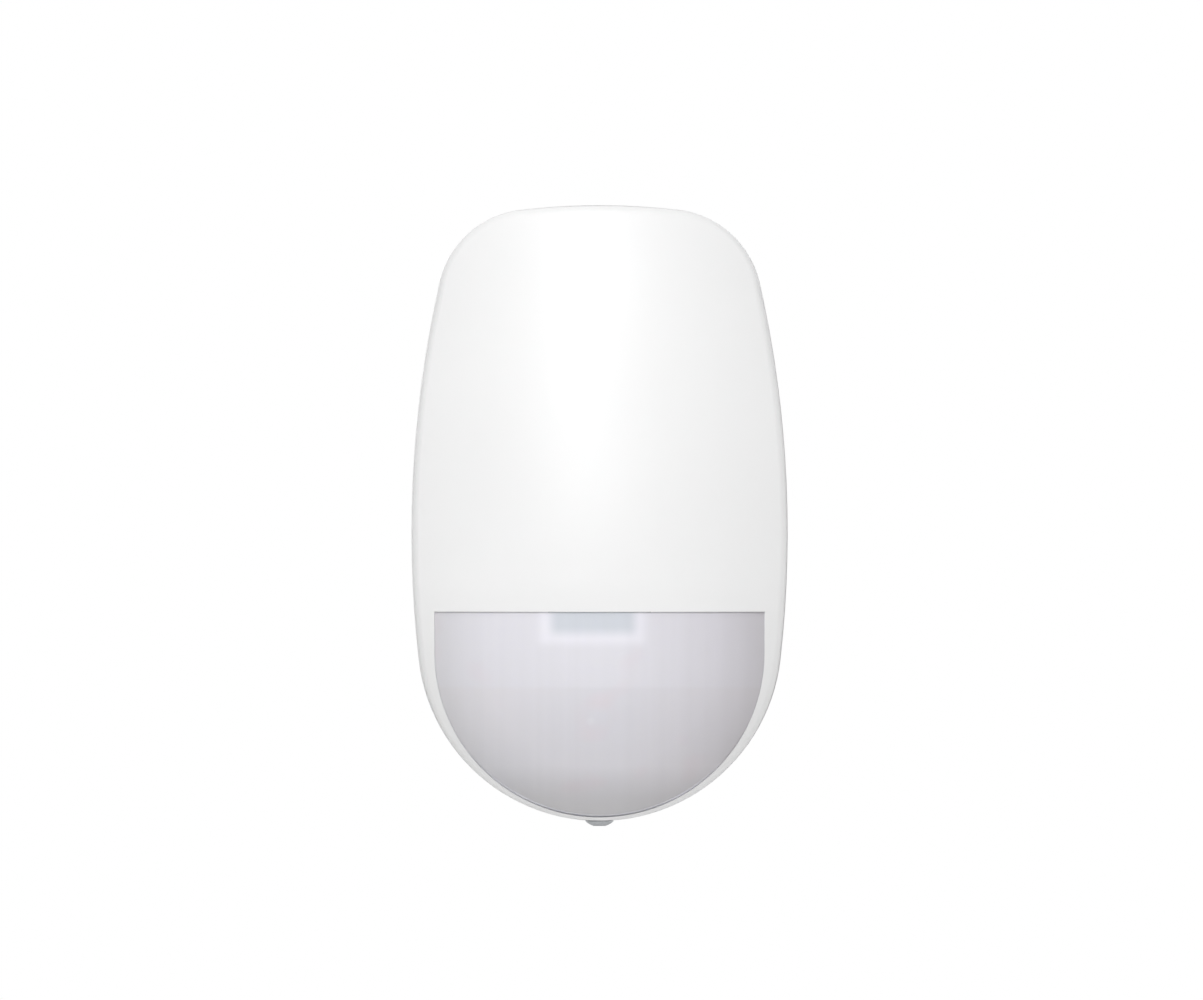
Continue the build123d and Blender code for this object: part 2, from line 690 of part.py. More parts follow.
def make_guide_bezel():
    """The frame round the guide's mouth, with two ears on pegs of the cover."""
    opening_h = guide_h + 2 * guide_fit
    frame_h = opening_h + 2 * bezel_t
    bezel = up_to(bezel_back_y, -body_d, block(bezel_w, frame_h, 0, guide_mid_z))
    ear_low = guide_mid_z - frame_h / 2
    ear_high = peg_z + bezel_ear_h / 2
    for side in (-1, 1):
        ear = block(bezel_ear_w, ear_high - ear_low, side * peg_x, (ear_high + ear_low) / 2)
        bezel += up_to(bezel_back_y, bezel_back_y - bezel_ear_t, ear)
        bezel -= up_to(0, -body_d, disc(peg_r + peg_fit, side * peg_x, peg_z))
    bezel -= up_to(0, -body_d - past, block(bezel_w - 2 * bezel_t, opening_h, 0, guide_mid_z))
    bezel &= front_body(lens_back + guide_lens_gap)
    # above the lens the frame stops behind the cover's wall
    above = Pos(0, -body_d / 2, lens_top_z - guide_top_gap + body_h / 2) * Box(body_w, 2 * body_d, body_h)
    return bezel - (above - front_body(cover_wall + guide_lens_gap))


def make_status_led():
    lamp = up_to(board_front, board_front - led_t, block(led_w, led_h, 0, guide_mid_z))
    return chamfer(lamp.edges().group_by(Axis.Y)[0], led_edge)


# ---------------------------------------------------------------- battery
def trough(radius, back_y):
    """Side view of a trough: round to the front, straight and open to the back."""
    depth = back_y - cell_y
    return Pos(cell_y, cell_z) * (Circle(radius) + Pos(depth / 2, 0) * Rectangle(depth, 2 * radius))


def make_cell():
    """A lithium photo cell lying on its side, its button to the right."""
    can = Cylinder(cell_r, cell_len)
    can = chamfer(can.edges().filter_by(GeomType.CIRCLE), cell_edge)
    can += Pos(0, 0, cell_len / 2 + cell_nub_len / 2) * Cylinder(cell_nub_r, cell_nub_len)
    return Pos(cell_x, cell_y, cell_z) * Rot(0, 90, 0) * can


def make_holder():
    half = holder_len / 2
    inner = cell_r + cell_clearance
    tray = along_x(trough(inner + holder_t, holder_back_y), -half, half)
    flange_w = holder_len + 2 * (holder_board_gap + holder_flange_w)
    flange_h = 2 * (inner + holder_t + holder_board_gap + holder_flange_w)
    rim_y = board_front - solder_gap
    tray += up_to(rim_y, rim_y - holder_flange_t, Pos(0, cell_z) * RectangleRounded(flange_w, flange_h, holder_corner))
    tray -= along_x(trough(inner, 0), -half + holder_t, half - holder_t)
    # finger cut-outs in the end walls
    for side in (-1, 1):
        wall_from, wall_to = sorted((side * (half - 2 * holder_t), side * (half + past)))
        tray -= along_x(Pos(holder_back_y, cell_z) * Circle(finger_r), wall_from, wall_to)
    return tray


def make_positive_contact():
    """A flat plate with a raised disc for the cell's button, and a solder tab."""
    face = holder_len / 2 - holder_t
    plate = along_x(Pos(cell_y, cell_z) * Rectangle(contact_w * 2, contact_w), face - contact_t, face)
    room = contact_space_pos - contact_t - contact_gap
    plate += Pos(face - contact_t - room / 2, cell_y, cell_z) * Rot(0, 90, 0) * Cylinder(contact_disc_r, room)
    return plate


def make_negative_contact():
    """A bowed leaf that presses the cell's flat end."""
    face = -holder_len / 2 + holder_t
    reach = contact_space_neg - contact_gap
    foot = cell_y - contact_w
    head = cell_y + contact_w
    front = face + contact_t
    leaf = Polyline((front, head), (face, head), (face, foot), (front, foot))
    bow = ThreePointArc((front, foot), (face + reach, cell_y), (front, head))
    section = make_face([leaf, bow])
    hollow = make_face([Line((front, foot + contact_t), (front, head - contact_t)),
                        ThreePointArc((front, head - contact_t), (face + reach - contact_t, cell_y),
                                      (front, foot + contact_t))])
    return Pos(0, 0, cell_z - contact_w / 2) * extrude(section - hollow, amount=contact_w)


# ---------------------------------------------------------------- switches
def make_tamper_case():
    back = board_y + tamper_case_t
    case = up_to(back, board_y, block(tamper_case, tamper_case, tamper_x, tamper_z))
    case = chamfer(case.edges().group_by(Axis.Y)[-1], tamper_case_edge)
    bore = disc(tamper_plunger_r + plunger_clearance, tamper_x, tamper_z)
    return case - up_to(back, board_y + switch_floor, bore)


def make_tamper_plunger():
    """Shown pressed in by the pillar; it springs back out as the cover opens."""
    tip = board_y + tamper_case_t + tamper_plunger_out
    plunger = up_to(tip, board_y + switch_floor + switch_rest, disc(tamper_plunger_r, tamper_x, tamper_z))
    return chamfer(plunger.edges().group_by(Axis.Y)[-1], plunger_edge)


def make_enrol_case():
    back = board_y + enrol_case_t
    case = up_to(back, board_y, block(enrol_case, enrol_case, enrol_x, enrol_z))
    case = chamfer(case.edges().filter_by(Axis.Y), enrol_case_edge)
    bore = disc(enrol_cap_r + plunger_clearance, enrol_x, enrol_z)
    return case - up_to(back, board_y + switch_floor, bore)


def make_enrol_cap():
    tip = board_y + enrol_case_t + enrol_cap_out
    inner_end = board_y + switch_floor + switch_rest + enrol_travel
    cap = up_to(tip, inner_end, disc(enrol_cap_r, enrol_x, enrol_z))
    return chamfer(cap.edges().group_by(Axis.Y)[-1], plunger_edge)


# ---------------------------------------------------------------- other board parts
def make_chip():
    return up_to(board_front, board_front - chip_t, block(chip_w, chip_w, chip_x, chip_z))


def make_radio_shield():
    can = up_to(board_y + shield_t, board_y, block(shield_w, shield_h, 0, shield_z))
    return chamfer(can.edges().filter_by(Axis.Y) + can.edges().group_by(Axis.Y)[-1], shield_edge)


def make_antenna():
    """A stamped strip on two legs over the board's top edge."""
    legs_z = antenna_z - antenna_h / 2
    top = board_front - antenna_h
    strip = up_to(top, top - antenna_t, block(antenna_w, antenna_h, 0, antenna_z))
    first_leg = (antenna_leg_w - antenna_w) / 2
    for x in (first_leg, first_leg + antenna_leg_step):
        strip += up_to(board_front, top, block(antenna_leg_w, antenna_t, x, legs_z + antenna_t / 2))
    return strip


def make_capacitor():
    can = up_to(board_front, board_front - cap_h, disc(cap_r, cap_x, cap_z))
    can = chamfer(can.edges().group_by(Axis.Y)[0], cap_edge)
    foot_w = 2 * (cap_r + cap_foot_lip)
    foot = up_to(board_front, board_front - cap_foot_t, block(foot_w, foot_w, cap_x, cap_z))
    return can + foot


# ---------------------------------------------------------------- all pieces
def make_all():
    header, spacer = make_pyro_header()
    pieces = {
        "back_plate": make_back_plate(),
        "lug_insert": make_insert(),
        "housing_screw": make_screw(),
        "screw_retaining_ring": make_retaining_ring(),
        "front_cover": make_front_cover(),
        "fresnel_lens": make_lens(),
        "light_guide": make_light_guide(),
        "guide_bezel": make_guide_bezel(),
        "circuit_board": make_board(),
        "pyro_header": header,
        "pyro_spacer": spacer,
        "pyro_can": make_pyro_can(),
        "pyro_window": make_pyro_window(),
        "sensor_hood": make_sensor_hood(),
        "status_led": make_status_led(),
        "battery_cell": make_cell(),
        "battery_holder": make_holder(),
        "battery_contact_positive": make_positive_contact(),
        "battery_contact_negative": make_negative_contact(),
        "tamper_switch_case": make_tamper_case(),
        "tamper_plunger": make_tamper_plunger(),
        "enrol_switch_case": make_enrol_case(),
        "enrol_button": make_enrol_cap(),
        "microcontroller": make_chip(),
        "radio_shield": make_radio_shield(),
        "antenna": make_antenna(),
        "supply_capacitor": make_capacitor(),
    }
    for number, (x, z) in enumerate(board_holes(), 1):
        pieces[f"board_screw_{number}"] = make_board_screw(x, z)
    return pieces


os.makedirs("parts", exist_ok=True)
for name, shape in make_all().items():
    export_step(shape, f"parts/{name}.step")
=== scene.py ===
import math

import bmesh
import bpy
from bpy.props import FloatProperty, PointerProperty, StringProperty
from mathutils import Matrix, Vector


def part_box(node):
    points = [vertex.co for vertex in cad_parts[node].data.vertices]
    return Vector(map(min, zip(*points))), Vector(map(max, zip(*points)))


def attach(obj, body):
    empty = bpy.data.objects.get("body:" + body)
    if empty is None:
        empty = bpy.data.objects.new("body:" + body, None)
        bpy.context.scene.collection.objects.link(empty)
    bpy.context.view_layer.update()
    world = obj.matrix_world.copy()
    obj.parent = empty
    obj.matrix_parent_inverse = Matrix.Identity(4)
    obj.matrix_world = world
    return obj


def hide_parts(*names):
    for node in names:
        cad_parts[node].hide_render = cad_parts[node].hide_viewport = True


bl_info = {
    "name": "Wall Motion Sensor Dressing",
    "version": (1, 0, 0),
    "blender": (4, 5, 0),
    "location": "View3D > Sidebar > Motion Sensor",
    "description": "Finishes, small parts and a studio for a wall-mounted motion sensor",
    "category": "Object",
}

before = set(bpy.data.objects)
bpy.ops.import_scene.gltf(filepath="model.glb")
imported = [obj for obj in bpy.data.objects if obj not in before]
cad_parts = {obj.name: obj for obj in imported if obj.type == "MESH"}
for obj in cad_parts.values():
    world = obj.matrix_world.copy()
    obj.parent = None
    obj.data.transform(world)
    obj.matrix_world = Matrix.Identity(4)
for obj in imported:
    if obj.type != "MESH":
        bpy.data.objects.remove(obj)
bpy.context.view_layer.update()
MM = 0.001
LENS_LOW, LENS_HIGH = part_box("fresnel_lens")
BOARD_LOW, BOARD_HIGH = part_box("circuit_board")
# the lens's outline has straight sides above and half a circle below
LENS_RADIUS = (LENS_HIGH.x - LENS_LOW.x) / 2
LENS_CENTRE_Z = LENS_LOW.z + LENS_RADIUS
# rays start in front of the whole object and run towards the wall
RAY_START_Y = LENS_LOW.y - 5 * MM
TO_WALL = {"Ray Direction": (0, 1, 0), "Ray Length": 0.06}


# ------------------------------------------------------------------ small helpers
def linear(hex_colour):
    """An sRGB hex colour as linear RGBA."""
    channels = [int(hex_colour[i:i + 2], 16) / 255 for i in (1, 3, 5)]
    return [c / 12.92 if c <= 0.04045 else ((c + 0.055) / 1.055) ** 2.4 for c in channels] + [1.0]


def wire(tree, node, values):
    """Set a node's properties and sockets; a value that is a node or a socket is linked instead."""
    for key, value in values.items():
        if isinstance(value, bpy.types.Node):
            value = next(socket for socket in value.outputs if socket.enabled)
        if isinstance(value, bpy.types.NodeSocket):
            tree.links.new(value, node.inputs[key])
        elif isinstance(key, int) or key in node.inputs:
            node.inputs[key].default_value = value
        else:
            setattr(node, key, value)
    return node


def add(tree, kind, values=None, stops=()):
    """Add a node with its settings and links; stops are a colour ramp's (position, hex colour or grey)."""
    node = wire(tree, tree.nodes.new(kind), values or {})
    if stops:
        elements = node.color_ramp.elements
        while len(elements) < len(stops):
            elements.new(0.5)
        for element, (position, colour) in zip(elements, stops):
            element.position = position
            element.color = linear(colour) if isinstance(colour, str) else (colour, colour, colour, 1)
    return node


def new_material(name, colour, roughness, ior=1.5, metallic=0.0, extra=None):
    """A Principled material with its uniform values on the shader's own sockets.

    Gives the material, its tree, its shader and the Object coordinates that its patterns read.
    """
    material = bpy.data.materials.new(name)
    material.use_nodes = True
    material.diffuse_color = linear(colour)
    tree = material.node_tree
    values = {"Base Color": linear(colour), "Roughness": roughness, "IOR": ior, "Metallic": metallic}
    shader = wire(tree, tree.nodes["Principled BSDF"], {**values, **(extra or {})})
    return material, tree, shader, add(tree, "ShaderNodeTexCoord").outputs["Object"]


def mottle(tree, where, size_mm, stops, detail=2.0):
    """Patches of about size_mm and the tone that follows them; gives both nodes."""
    patches = add(tree, "ShaderNodeTexNoise", {
        "Vector": where, "Scale": 1 / (size_mm * MM), "Detail": detail})
    return patches, add(tree, "ShaderNodeValToRGB", {"Fac": patches}, stops)


def dress(node_name, material):
    """Put a material on a CAD node's own slots."""
    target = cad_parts[node_name]
    if not target.material_slots:
        target.data.materials.append(material)
    for slot in target.material_slots:
        slot.material = material


def finished(name, mesh, body):
    """Link a finished mesh as a piece that rides on a body."""
    piece = bpy.data.objects.new(name, mesh)
    bpy.context.scene.collection.objects.link(piece)
    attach(piece, body)
    return piece


def new_tree(name, inputs):
    """A Geometry Nodes group with named inputs for its sizes; gives the tree and its input node."""
    tree = bpy.data.node_groups.new(name, "GeometryNodeTree")
    face = tree.interface
    face.new_socket("Geometry", in_out="INPUT", socket_type="NodeSocketGeometry")
    for label, value in inputs.items():
        kind = "NodeSocketVector" if isinstance(value, tuple) else "NodeSocketFloat"
        face.new_socket(label, in_out="INPUT", socket_type=kind).default_value = value
    face.new_socket("Geometry", in_out="OUTPUT", socket_type="NodeSocketGeometry")
    return tree, tree.nodes.new("NodeGroupInput")


def settle(tree, geometry, material, name, body, source):
    """End a tree in Realize Instances and Set Material, run it once and keep its result as a plain piece."""
    real = add(tree, "GeometryNodeRealizeInstances", {"Geometry": geometry})
    coat = add(tree, "GeometryNodeSetMaterial", {"Geometry": real, "Material": material})
    add(tree, "NodeGroupOutput", {"Geometry": coat})
    carrier = bpy.data.objects.new(name + "_maker", source)
    bpy.context.scene.collection.objects.link(carrier)
    carrier.modifiers.new("make", "NODES").node_group = tree
    graph = bpy.context.evaluated_depsgraph_get()
    mesh = bpy.data.meshes.new_from_object(carrier.evaluated_get(graph))
    if not mesh.polygons:
        raise RuntimeError(name + " came out empty")
    mesh.name = name
    bpy.data.objects.remove(carrier)
    finished(name, mesh, body)


def scatter(tree, start, part, turns, material, name, body, places):
    """Put a part at every place, turned or scaled as turns says, and keep them all as one piece."""
    spots = bpy.data.meshes.new(name + "_points")
    spots.from_pydata([tuple(place) for place in places], [], [])
    spread = add(tree, "GeometryNodeInstanceOnPoints", {
        "Points": start.outputs["Geometry"], "Instance": part, **turns})
    settle(tree, spread, material, name, body, spots)


def rod(tree, lines, size, share, sides):
    """Closed rods along a mesh's edges, their radius a share of the size."""
    curve = add(tree, "GeometryNodeMeshToCurve", {"Mesh": lines})
    radius = add(tree, "ShaderNodeMath", {"operation": "MULTIPLY", 0: size, 1: share})
    profile = add(tree, "GeometryNodeCurvePrimitiveCircle", {"Resolution": sides, "Radius": radius})
    return add(tree, "GeometryNodeCurveToMesh", {"Curve": curve, "Profile Curve": profile, "Fill Caps": True})


def from_middle(tree, axes):
    """The way out from the lens's upright middle line, or from the middle of its round foot."""
    drop = add(tree, "ShaderNodeMath", {"operation": "SUBTRACT", 0: axes.outputs["Z"], 1: LENS_CENTRE_Z})
    under = add(tree, "ShaderNodeMath", {"operation": "MINIMUM", 0: drop, 1: 0.0})
    return add(tree, "ShaderNodeCombineXYZ", {"X": axes.outputs["X"], "Z": under})


# ------------------------------------------------------------------ finishes
def white_abs(settings):
    """ABS, injection moulded in a spark-eroded tool: white, softly matt, with a fine even grain."""
    material, tree, shader, where = new_material(
        "ABS white, spark-eroded mould", "#E7E7E7", 0.42, 1.53, extra={
            "Subsurface Weight": 0.12, "Subsurface Radius": (0.0011, 0.001, 0.001),
            "Specular IOR Level": 0.45})
    _, tone = mottle(tree, where, 28.0, [(0.3, "#E6E6E6"), (0.7, "#E8E8E8")], 1.0)
    # the real grit is about 0.05 mm; drawn near 0.3 mm so that it shows at all
    pits, gloss = mottle(tree, where, settings.grit_mm, [(0.35, 0.38), (0.65, 0.46)], 3.0)
    relief = add(tree, "ShaderNodeBump", {"Height": pits, "Distance": 0.008 * MM, "Strength": 0.35})
    wire(tree, shader, {"Base Color": tone, "Roughness": gloss, "Normal": relief})
    return material


def soft_box(tree, axes, mid_x, half_x, low_z, soft):
    """A factor that is 1 within half_x of mid_x and above low_z, with soft edges; all in millimetres."""
    offset = add(tree, "ShaderNodeMath", {"operation": "SUBTRACT", 0: axes.outputs["X"], 1: mid_x * MM})
    across = add(tree, "ShaderNodeMath", {"operation": "ABSOLUTE", 0: offset})
    side = add(tree, "ShaderNodeMapRange", {
        "interpolation_type": "SMOOTHSTEP", "Value": across,
        "From Min": (half_x + soft) * MM, "From Max": (half_x - soft) * MM})
    foot = add(tree, "ShaderNodeMapRange", {
        "interpolation_type": "SMOOTHSTEP", "Value": axes.outputs["Z"],
        "From Min": (low_z - soft) * MM, "From Max": (low_z + soft) * MM})
    return add(tree, "ShaderNodeMath", {"operation": "MULTIPLY", 0: side, 1: foot})


def milky_polyethylene(settings):
    """High-density polyethylene sheet, pressed: milky, faintly violet, with the shapes close behind painted
    on as show-through, and painted shade and light.
    """
    material, tree, shader, where = new_material(
        "HDPE milky, pressed lens sheet", settings.upper_hex, 0.36, 1.54, extra={
            "Transmission Weight": 0.08, "Subsurface Weight": 0.4,
            "Subsurface Radius": (0.0016, 0.0016, 0.0018)})
    axes = add(tree, "ShaderNodeSeparateXYZ", {"Vector": where})
    _, lower_rows = mottle(tree, where, 24.0, [(0.35, settings.lower_hex), (0.65, "#E1E0E6")], 1.0)
    row_edge = 0.45 * MM
    top_row = add(tree, "ShaderNodeMapRange", {
        "interpolation_type": "SMOOTHSTEP", "Value": axes.outputs["Z"],
        "From Min": settings.top_row_foot - row_edge, "From Max": settings.top_row_foot + row_edge})
    _, blush = mottle(tree, where, 9.0, [(0.62, 0.0), (0.78, 0.35)], 1.0)
    # painted show-through of the frame and the light guide behind the top edge
    painted_frame_showthrough = soft_box(tree, axes, mid_x=-1.3, half_x=9.1, low_z=-22.4, soft=1.1)
    painted_guide_showthrough = soft_box(tree, axes, mid_x=-1.1, half_x=7.1, low_z=-20.5, soft=1.3)
    # 0 on the middle line, 1 at the outline
    away = add(tree, "ShaderNodeVectorMath", {"operation": "LENGTH", 0: from_middle(tree, axes)})
    share = add(tree, "ShaderNodeMath", {"operation": "DIVIDE", 0: away, 1: LENS_RADIUS})
    # painted shade, darker towards the outline
    painted_rim_shade = add(tree, "ShaderNodeValToRGB", {"Fac": share}, [(0.5, 0.0), (0.7, 0.1), (0.88, 0.6), (0.97, 1.0)])
    # painted shade, darker towards the right
    span = add(tree, "ShaderNodeMath", {"operation": "DIVIDE", 0: axes.outputs["X"], 1: LENS_RADIUS})
    right = add(tree, "ShaderNodeValToRGB", {"Fac": span}, [(0.1, "#FFFFFF"), (0.95, "#ECEAEB")])
    # painted shade, darker towards the foot
    foot_low, foot_high = -53 * MM, -43 * MM
    height = add(tree, "ShaderNodeMapRange", {
        "Value": axes.outputs["Z"], "From Min": foot_low, "From Max": foot_high})
    foot = add(tree, "ShaderNodeValToRGB", {"Fac": height}, [
        (0.0, "#F0F0EE"), (0.38, "#EEEEED"), (0.65, "#F5F5F5"), (0.95, "#FFFFFF")])
    # painted light along the outline at the foot, against the rim's shadow
    cut = add(tree, "ShaderNodeValToRGB", {"Fac": share}, [(0.984, 0.0), (0.991, 1.0)])
    painted_light_from, painted_light_full = -42 * MM, -49 * MM
    painted_light_foot = add(tree, "ShaderNodeMapRange", {
        "Value": axes.outputs["Z"], "From Min": painted_light_from, "From Max": painted_light_full})
    painted_edge_light = add(tree, "ShaderNodeMath", {"operation": "MULTIPLY", 0: cut, 1: painted_light_foot})
    face = add(tree, "ShaderNodeCombineXYZ", {"X": axes.outputs["X"], "Z": axes.outputs["Z"]})
    glint_middle, glint_edge, glint_core = (-1.5 * MM, 0, -35.7 * MM), 1.1 * MM, 0.2 * MM
    spot = add(tree, "ShaderNodeVectorMath", {"operation": "DISTANCE", 0: face, 1: glint_middle})
    glint = add(tree, "ShaderNodeMapRange", {
        "interpolation_type": "SMOOTHSTEP", "Value": spot,
        "From Min": glint_edge, "From Max": glint_core, "To Max": 0.4})
    stretched = add(tree, "ShaderNodeMapping", {"Vector": where, "Scale": (1.0, 0.0, 0.012)})
    streaks, streak_tone = mottle(tree, stretched, 2.4, [(0.3, "#FCFCFC"), (0.7, "#FFFFFF")])
    layers = [
        # the top row of ridges scatters more light than the rows below it
        ("MIX", top_row, linear(settings.upper_hex)),
        ("MIX", blush, linear("#E6D9E0")),
        # painted show-through: the white frame and the blue-grey light guide close behind are painted onto
        # the top edge
        ("MIX", painted_frame_showthrough, linear("#F0EFF6")),
        ("MIX", painted_guide_showthrough, linear("#D6DAE1")),
        # painted shade: the sheet is painted darker towards its rim, for the shade of the cover's inside
        # behind it
        ("MULTIPLY", painted_rim_shade, linear("#F0F0EE")),
        # painted shade: the sheet is painted darker towards the right
        ("MULTIPLY", 1.0, right),
        # painted shade: the lowest rows are painted darker towards the foot
        ("MULTIPLY", 1.0, foot),
        # painted light: the edge is painted lighter at the foot, to offset the shadow that the cover's rim
        # casts on the recessed sheet
        ("MIX", painted_edge_light, linear("#EEEEF4")),
        # the middle of the second row's ridges catches the light as one soft spot
        ("MIX", glint, linear("#EAEAEF")),
        # faint upright streaks, from the way the sheet was drawn
        ("MULTIPLY", 1.0, streak_tone)]
    body = lower_rows
    for blend, factor, colour in layers:
        body = add(tree, "ShaderNodeMix", {
            "data_type": "RGBA", "blend_type": blend, 0: factor, 6: body, 7: colour})
    relief = add(tree, "ShaderNodeBump", {"Height": streaks, "Distance": 0.02 * MM, "Strength": 0.3})
    wire(tree, shader, {"Base Color": body, "Normal": relief})
    return material


def mottled(name, colour, roughness, ior, size_mm, tones, detail=2.0, spread=(0.3, 0.7), relief=None,
            extra=None):
    """A moulded, cast, painted or fired finish whose tone wanders over patches of size_mm.

    relief is the grain's size and depth in millimetres, and its strength.
    """
    material, tree, shader, where = new_material(name, colour, roughness, ior, extra=extra)
    _, tone = mottle(tree, where, size_mm, list(zip(spread, tones)), detail)
    wire(tree, shader, {"Base Color": tone})
    if relief:
        grain_mm, depth_mm, strength = relief
        grain = add(tree, "ShaderNodeTexNoise", {
            "Vector": where, "Scale": 1 / (grain_mm * MM), "Detail": detail})
        uneven = add(tree, "ShaderNodeBump", {
            "Height": grain, "Distance": depth_mm * MM, "Strength": strength})
        wire(tree, shader, {"Normal": uneven})
    return material


def milky_silicone():
    """Silicone rubber, dispensed as a bead: milky, satin."""
    return mottled("Silicone milky, dispensed bead", "#DFDFE2", roughness=0.45, ior=1.41,
                   size_mm=1.5, tones=("#DADADD", "#E4E4E7"), detail=1.0,
                   extra={"Subsurface Weight": 0.4, "Subsurface Radius": (0.001, 0.001, 0.001)})


def lens_ridge_plastic():
    """The same polyethylene where it is ridged: a touch clearer, so that the ridges read as fine lines."""
    return mottled("HDPE milky, pressed ridges", "#D4D3DA", roughness=0.3, ior=1.54,
                   size_mm=0.8, tones=("#CFCED6", "#D9D8DF"), extra={"Transmission Weight": 0.35})


def blue_grey_acrylic():
    """PMMA, polished mould: clear blue-grey, smooth, carries the status light forward."""
    return mottled("PMMA blue-grey, polished mould", "#B9C6CE", roughness=0.12, ior=1.49,
                   size_mm=3.0, tones=("#B2C0C9", "#C0CCD3"), extra={"Transmission Weight": 0.3})


def inner_white():
    """ABS, plain mould: the white inner pieces, a little glossier than the outside."""
    return mottled("ABS white, plain mould", "#F1F1F4", roughness=0.36, ior=1.53,
                   size_mm=6.0, tones=("#EDEDF1", "#F4F4F7"), relief=(0.3, 0.006, 0.4))


def black_pbt():
    """Glass-filled PBT, moulded: near black, with a faint flow grain."""
    return mottled("PBT black, moulded", "#1A1A1C", roughness=0.5, ior=1.57,
                   size_mm=0.5, tones=("#161618", "#232326"), detail=4.0, relief=(0.5, 0.01, 0.4))


def natural_acetal():
    """Acetal, moulded natural: creamy, slightly waxy gloss."""
    return mottled("Acetal natural, moulded", "#E6E0CC", roughness=0.3, ior=1.48,
                   size_mm=1.0, tones=("#E2DBC5", "#EAE5D3"))


def clear_resin():
    """Epoxy, cast clear with phosphor: pale lemon, wet gloss."""
    return mottled("Epoxy clear, cast", "#EFE9BE", roughness=0.15, ior=1.52,
                   size_mm=0.7, tones=("#EBE3AC", "#F4F0D2"), extra={"Transmission Weight": 0.25})


def chip_epoxy():
    """Epoxy, transfer moulded: charcoal, dull, finely speckled."""
    return mottled("Epoxy black, transfer moulded", "#202124", roughness=0.55, ior=1.55,
                   size_mm=0.18, tones=("#1A1B1D", "#2C2D31"), detail=3.0, spread=(0.3, 0.75),
                   relief=(0.18, 0.006, 0.5))


def tan_ceramic():
    """Ceramic, fired: the matt tan body of a small surface-mount part."""
    return mottled("Ceramic tan, fired", "#B58F67", roughness=0.4, ior=1.6,
                   size_mm=0.5, tones=("#A37E58", "#B58F67"))


def green_laminate(name="Glass-epoxy, green solder mask", colour="#14552E", light="#175B32"):
    """Glass-epoxy board under green solder mask: semi-gloss, the glass cloth's weave just visible."""
    material, tree, shader, where = new_material(name, colour, 0.32, 1.52)
    _, pour = mottle(tree, where, 14.0, [(0.48, colour), (0.52, light)], 1.0)
    _, gloss = mottle(tree, where, 0.8, [(0.3, 0.28), (0.7, 0.38)])
    # the cloth's threads are about 0.5 mm apart; a wave's length is 0.31 at scale 1
    threads = 0.31 / (0.5 * MM)
    warp, weft = (add(tree, "ShaderNodeTexWave", {"bands_direction": axis, "Vector": where, "Scale": threads})
                  for axis in ("X", "Z"))
    weave = add(tree, "ShaderNodeMath", {
        "operation": "MULTIPLY", 0: warp.outputs["Fac"], 1: weft.outputs["Fac"]})
    relief = add(tree, "ShaderNodeBump", {"Height": weave, "Distance": 0.01 * MM, "Strength": 0.25})
    wire(tree, shader, {"Base Color": pour, "Roughness": gloss, "Normal": relief})
    return material


def metal(name, colour, dark, roughness, grain_mm, stretch=None, extra=None):
    """A metal finish: base tone broken by fine marks, which run along the way the metal was worked."""
    material, tree, shader, where = new_material(name, colour, roughness, metallic=1.0, extra=extra)
    worked = add(tree, "ShaderNodeMapping", {"Vector": where, "Scale": stretch}) if stretch else where
    marks, tone = mottle(tree, worked, grain_mm, [(0.25, dark), (0.75, colour)], 4.0)
    gloss = add(tree, "ShaderNodeValToRGB", {"Fac": marks}, [(0.2, roughness * 0.8), (0.8, roughness * 1.25)])
    relief = add(tree, "ShaderNodeBump", {"Height": marks, "Distance": 0.006 * MM, "Strength": 0.4})
    wire(tree, shader, {"Base Color": tone, "Roughness": gloss, "Normal": relief})
    return material


def nickel_steel():
    """Steel strip, nickel plated and pressed: warm pale grey, soft mirror."""
    return metal("Steel, nickel plated, pressed", "#C9C6BE", "#C0BDB5", roughness=0.28, grain_mm=0.9)


def zinc_steel():
    """Steel wire, cold headed and zinc plated: cool mid grey, slightly cloudy."""
    return metal("Steel, zinc plated, cold headed", "#C9CBCD", "#B4B7BA", roughness=0.38, grain_mm=0.35)


def turned_brass():
    """Brass, turned: yellow, with fine rings across its axis."""
    return metal("Brass, turned", "#C9A45C", "#AD8845", roughness=0.28, grain_mm=0.3, stretch=(1, 1, 12))


def drawn_aluminium():
    """Aluminium, deep drawn: bright grey with streaks along the can."""
    return metal("Aluminium, drawn", "#C7CACD", "#AEB2B6", roughness=0.3, grain_mm=0.4,
                 stretch=(1, 0.08, 1))


def coated_silicon():
    """Silicon with an infrared coating, polished: dark mirror with a brown-violet sheen."""
    return metal("Silicon, coated and polished", "#4A4450", "#3C3844", roughness=0.12, grain_mm=1.2,
                 extra={"Coat Weight": 0.6})


def tin_solder():
    """Tin solder, reflowed: bright silver beads with a slightly frosted skin."""
    return metal("Tin solder, reflowed", "#D2D3D2", "#B9BBBB", roughness=0.22, grain_mm=0.3)


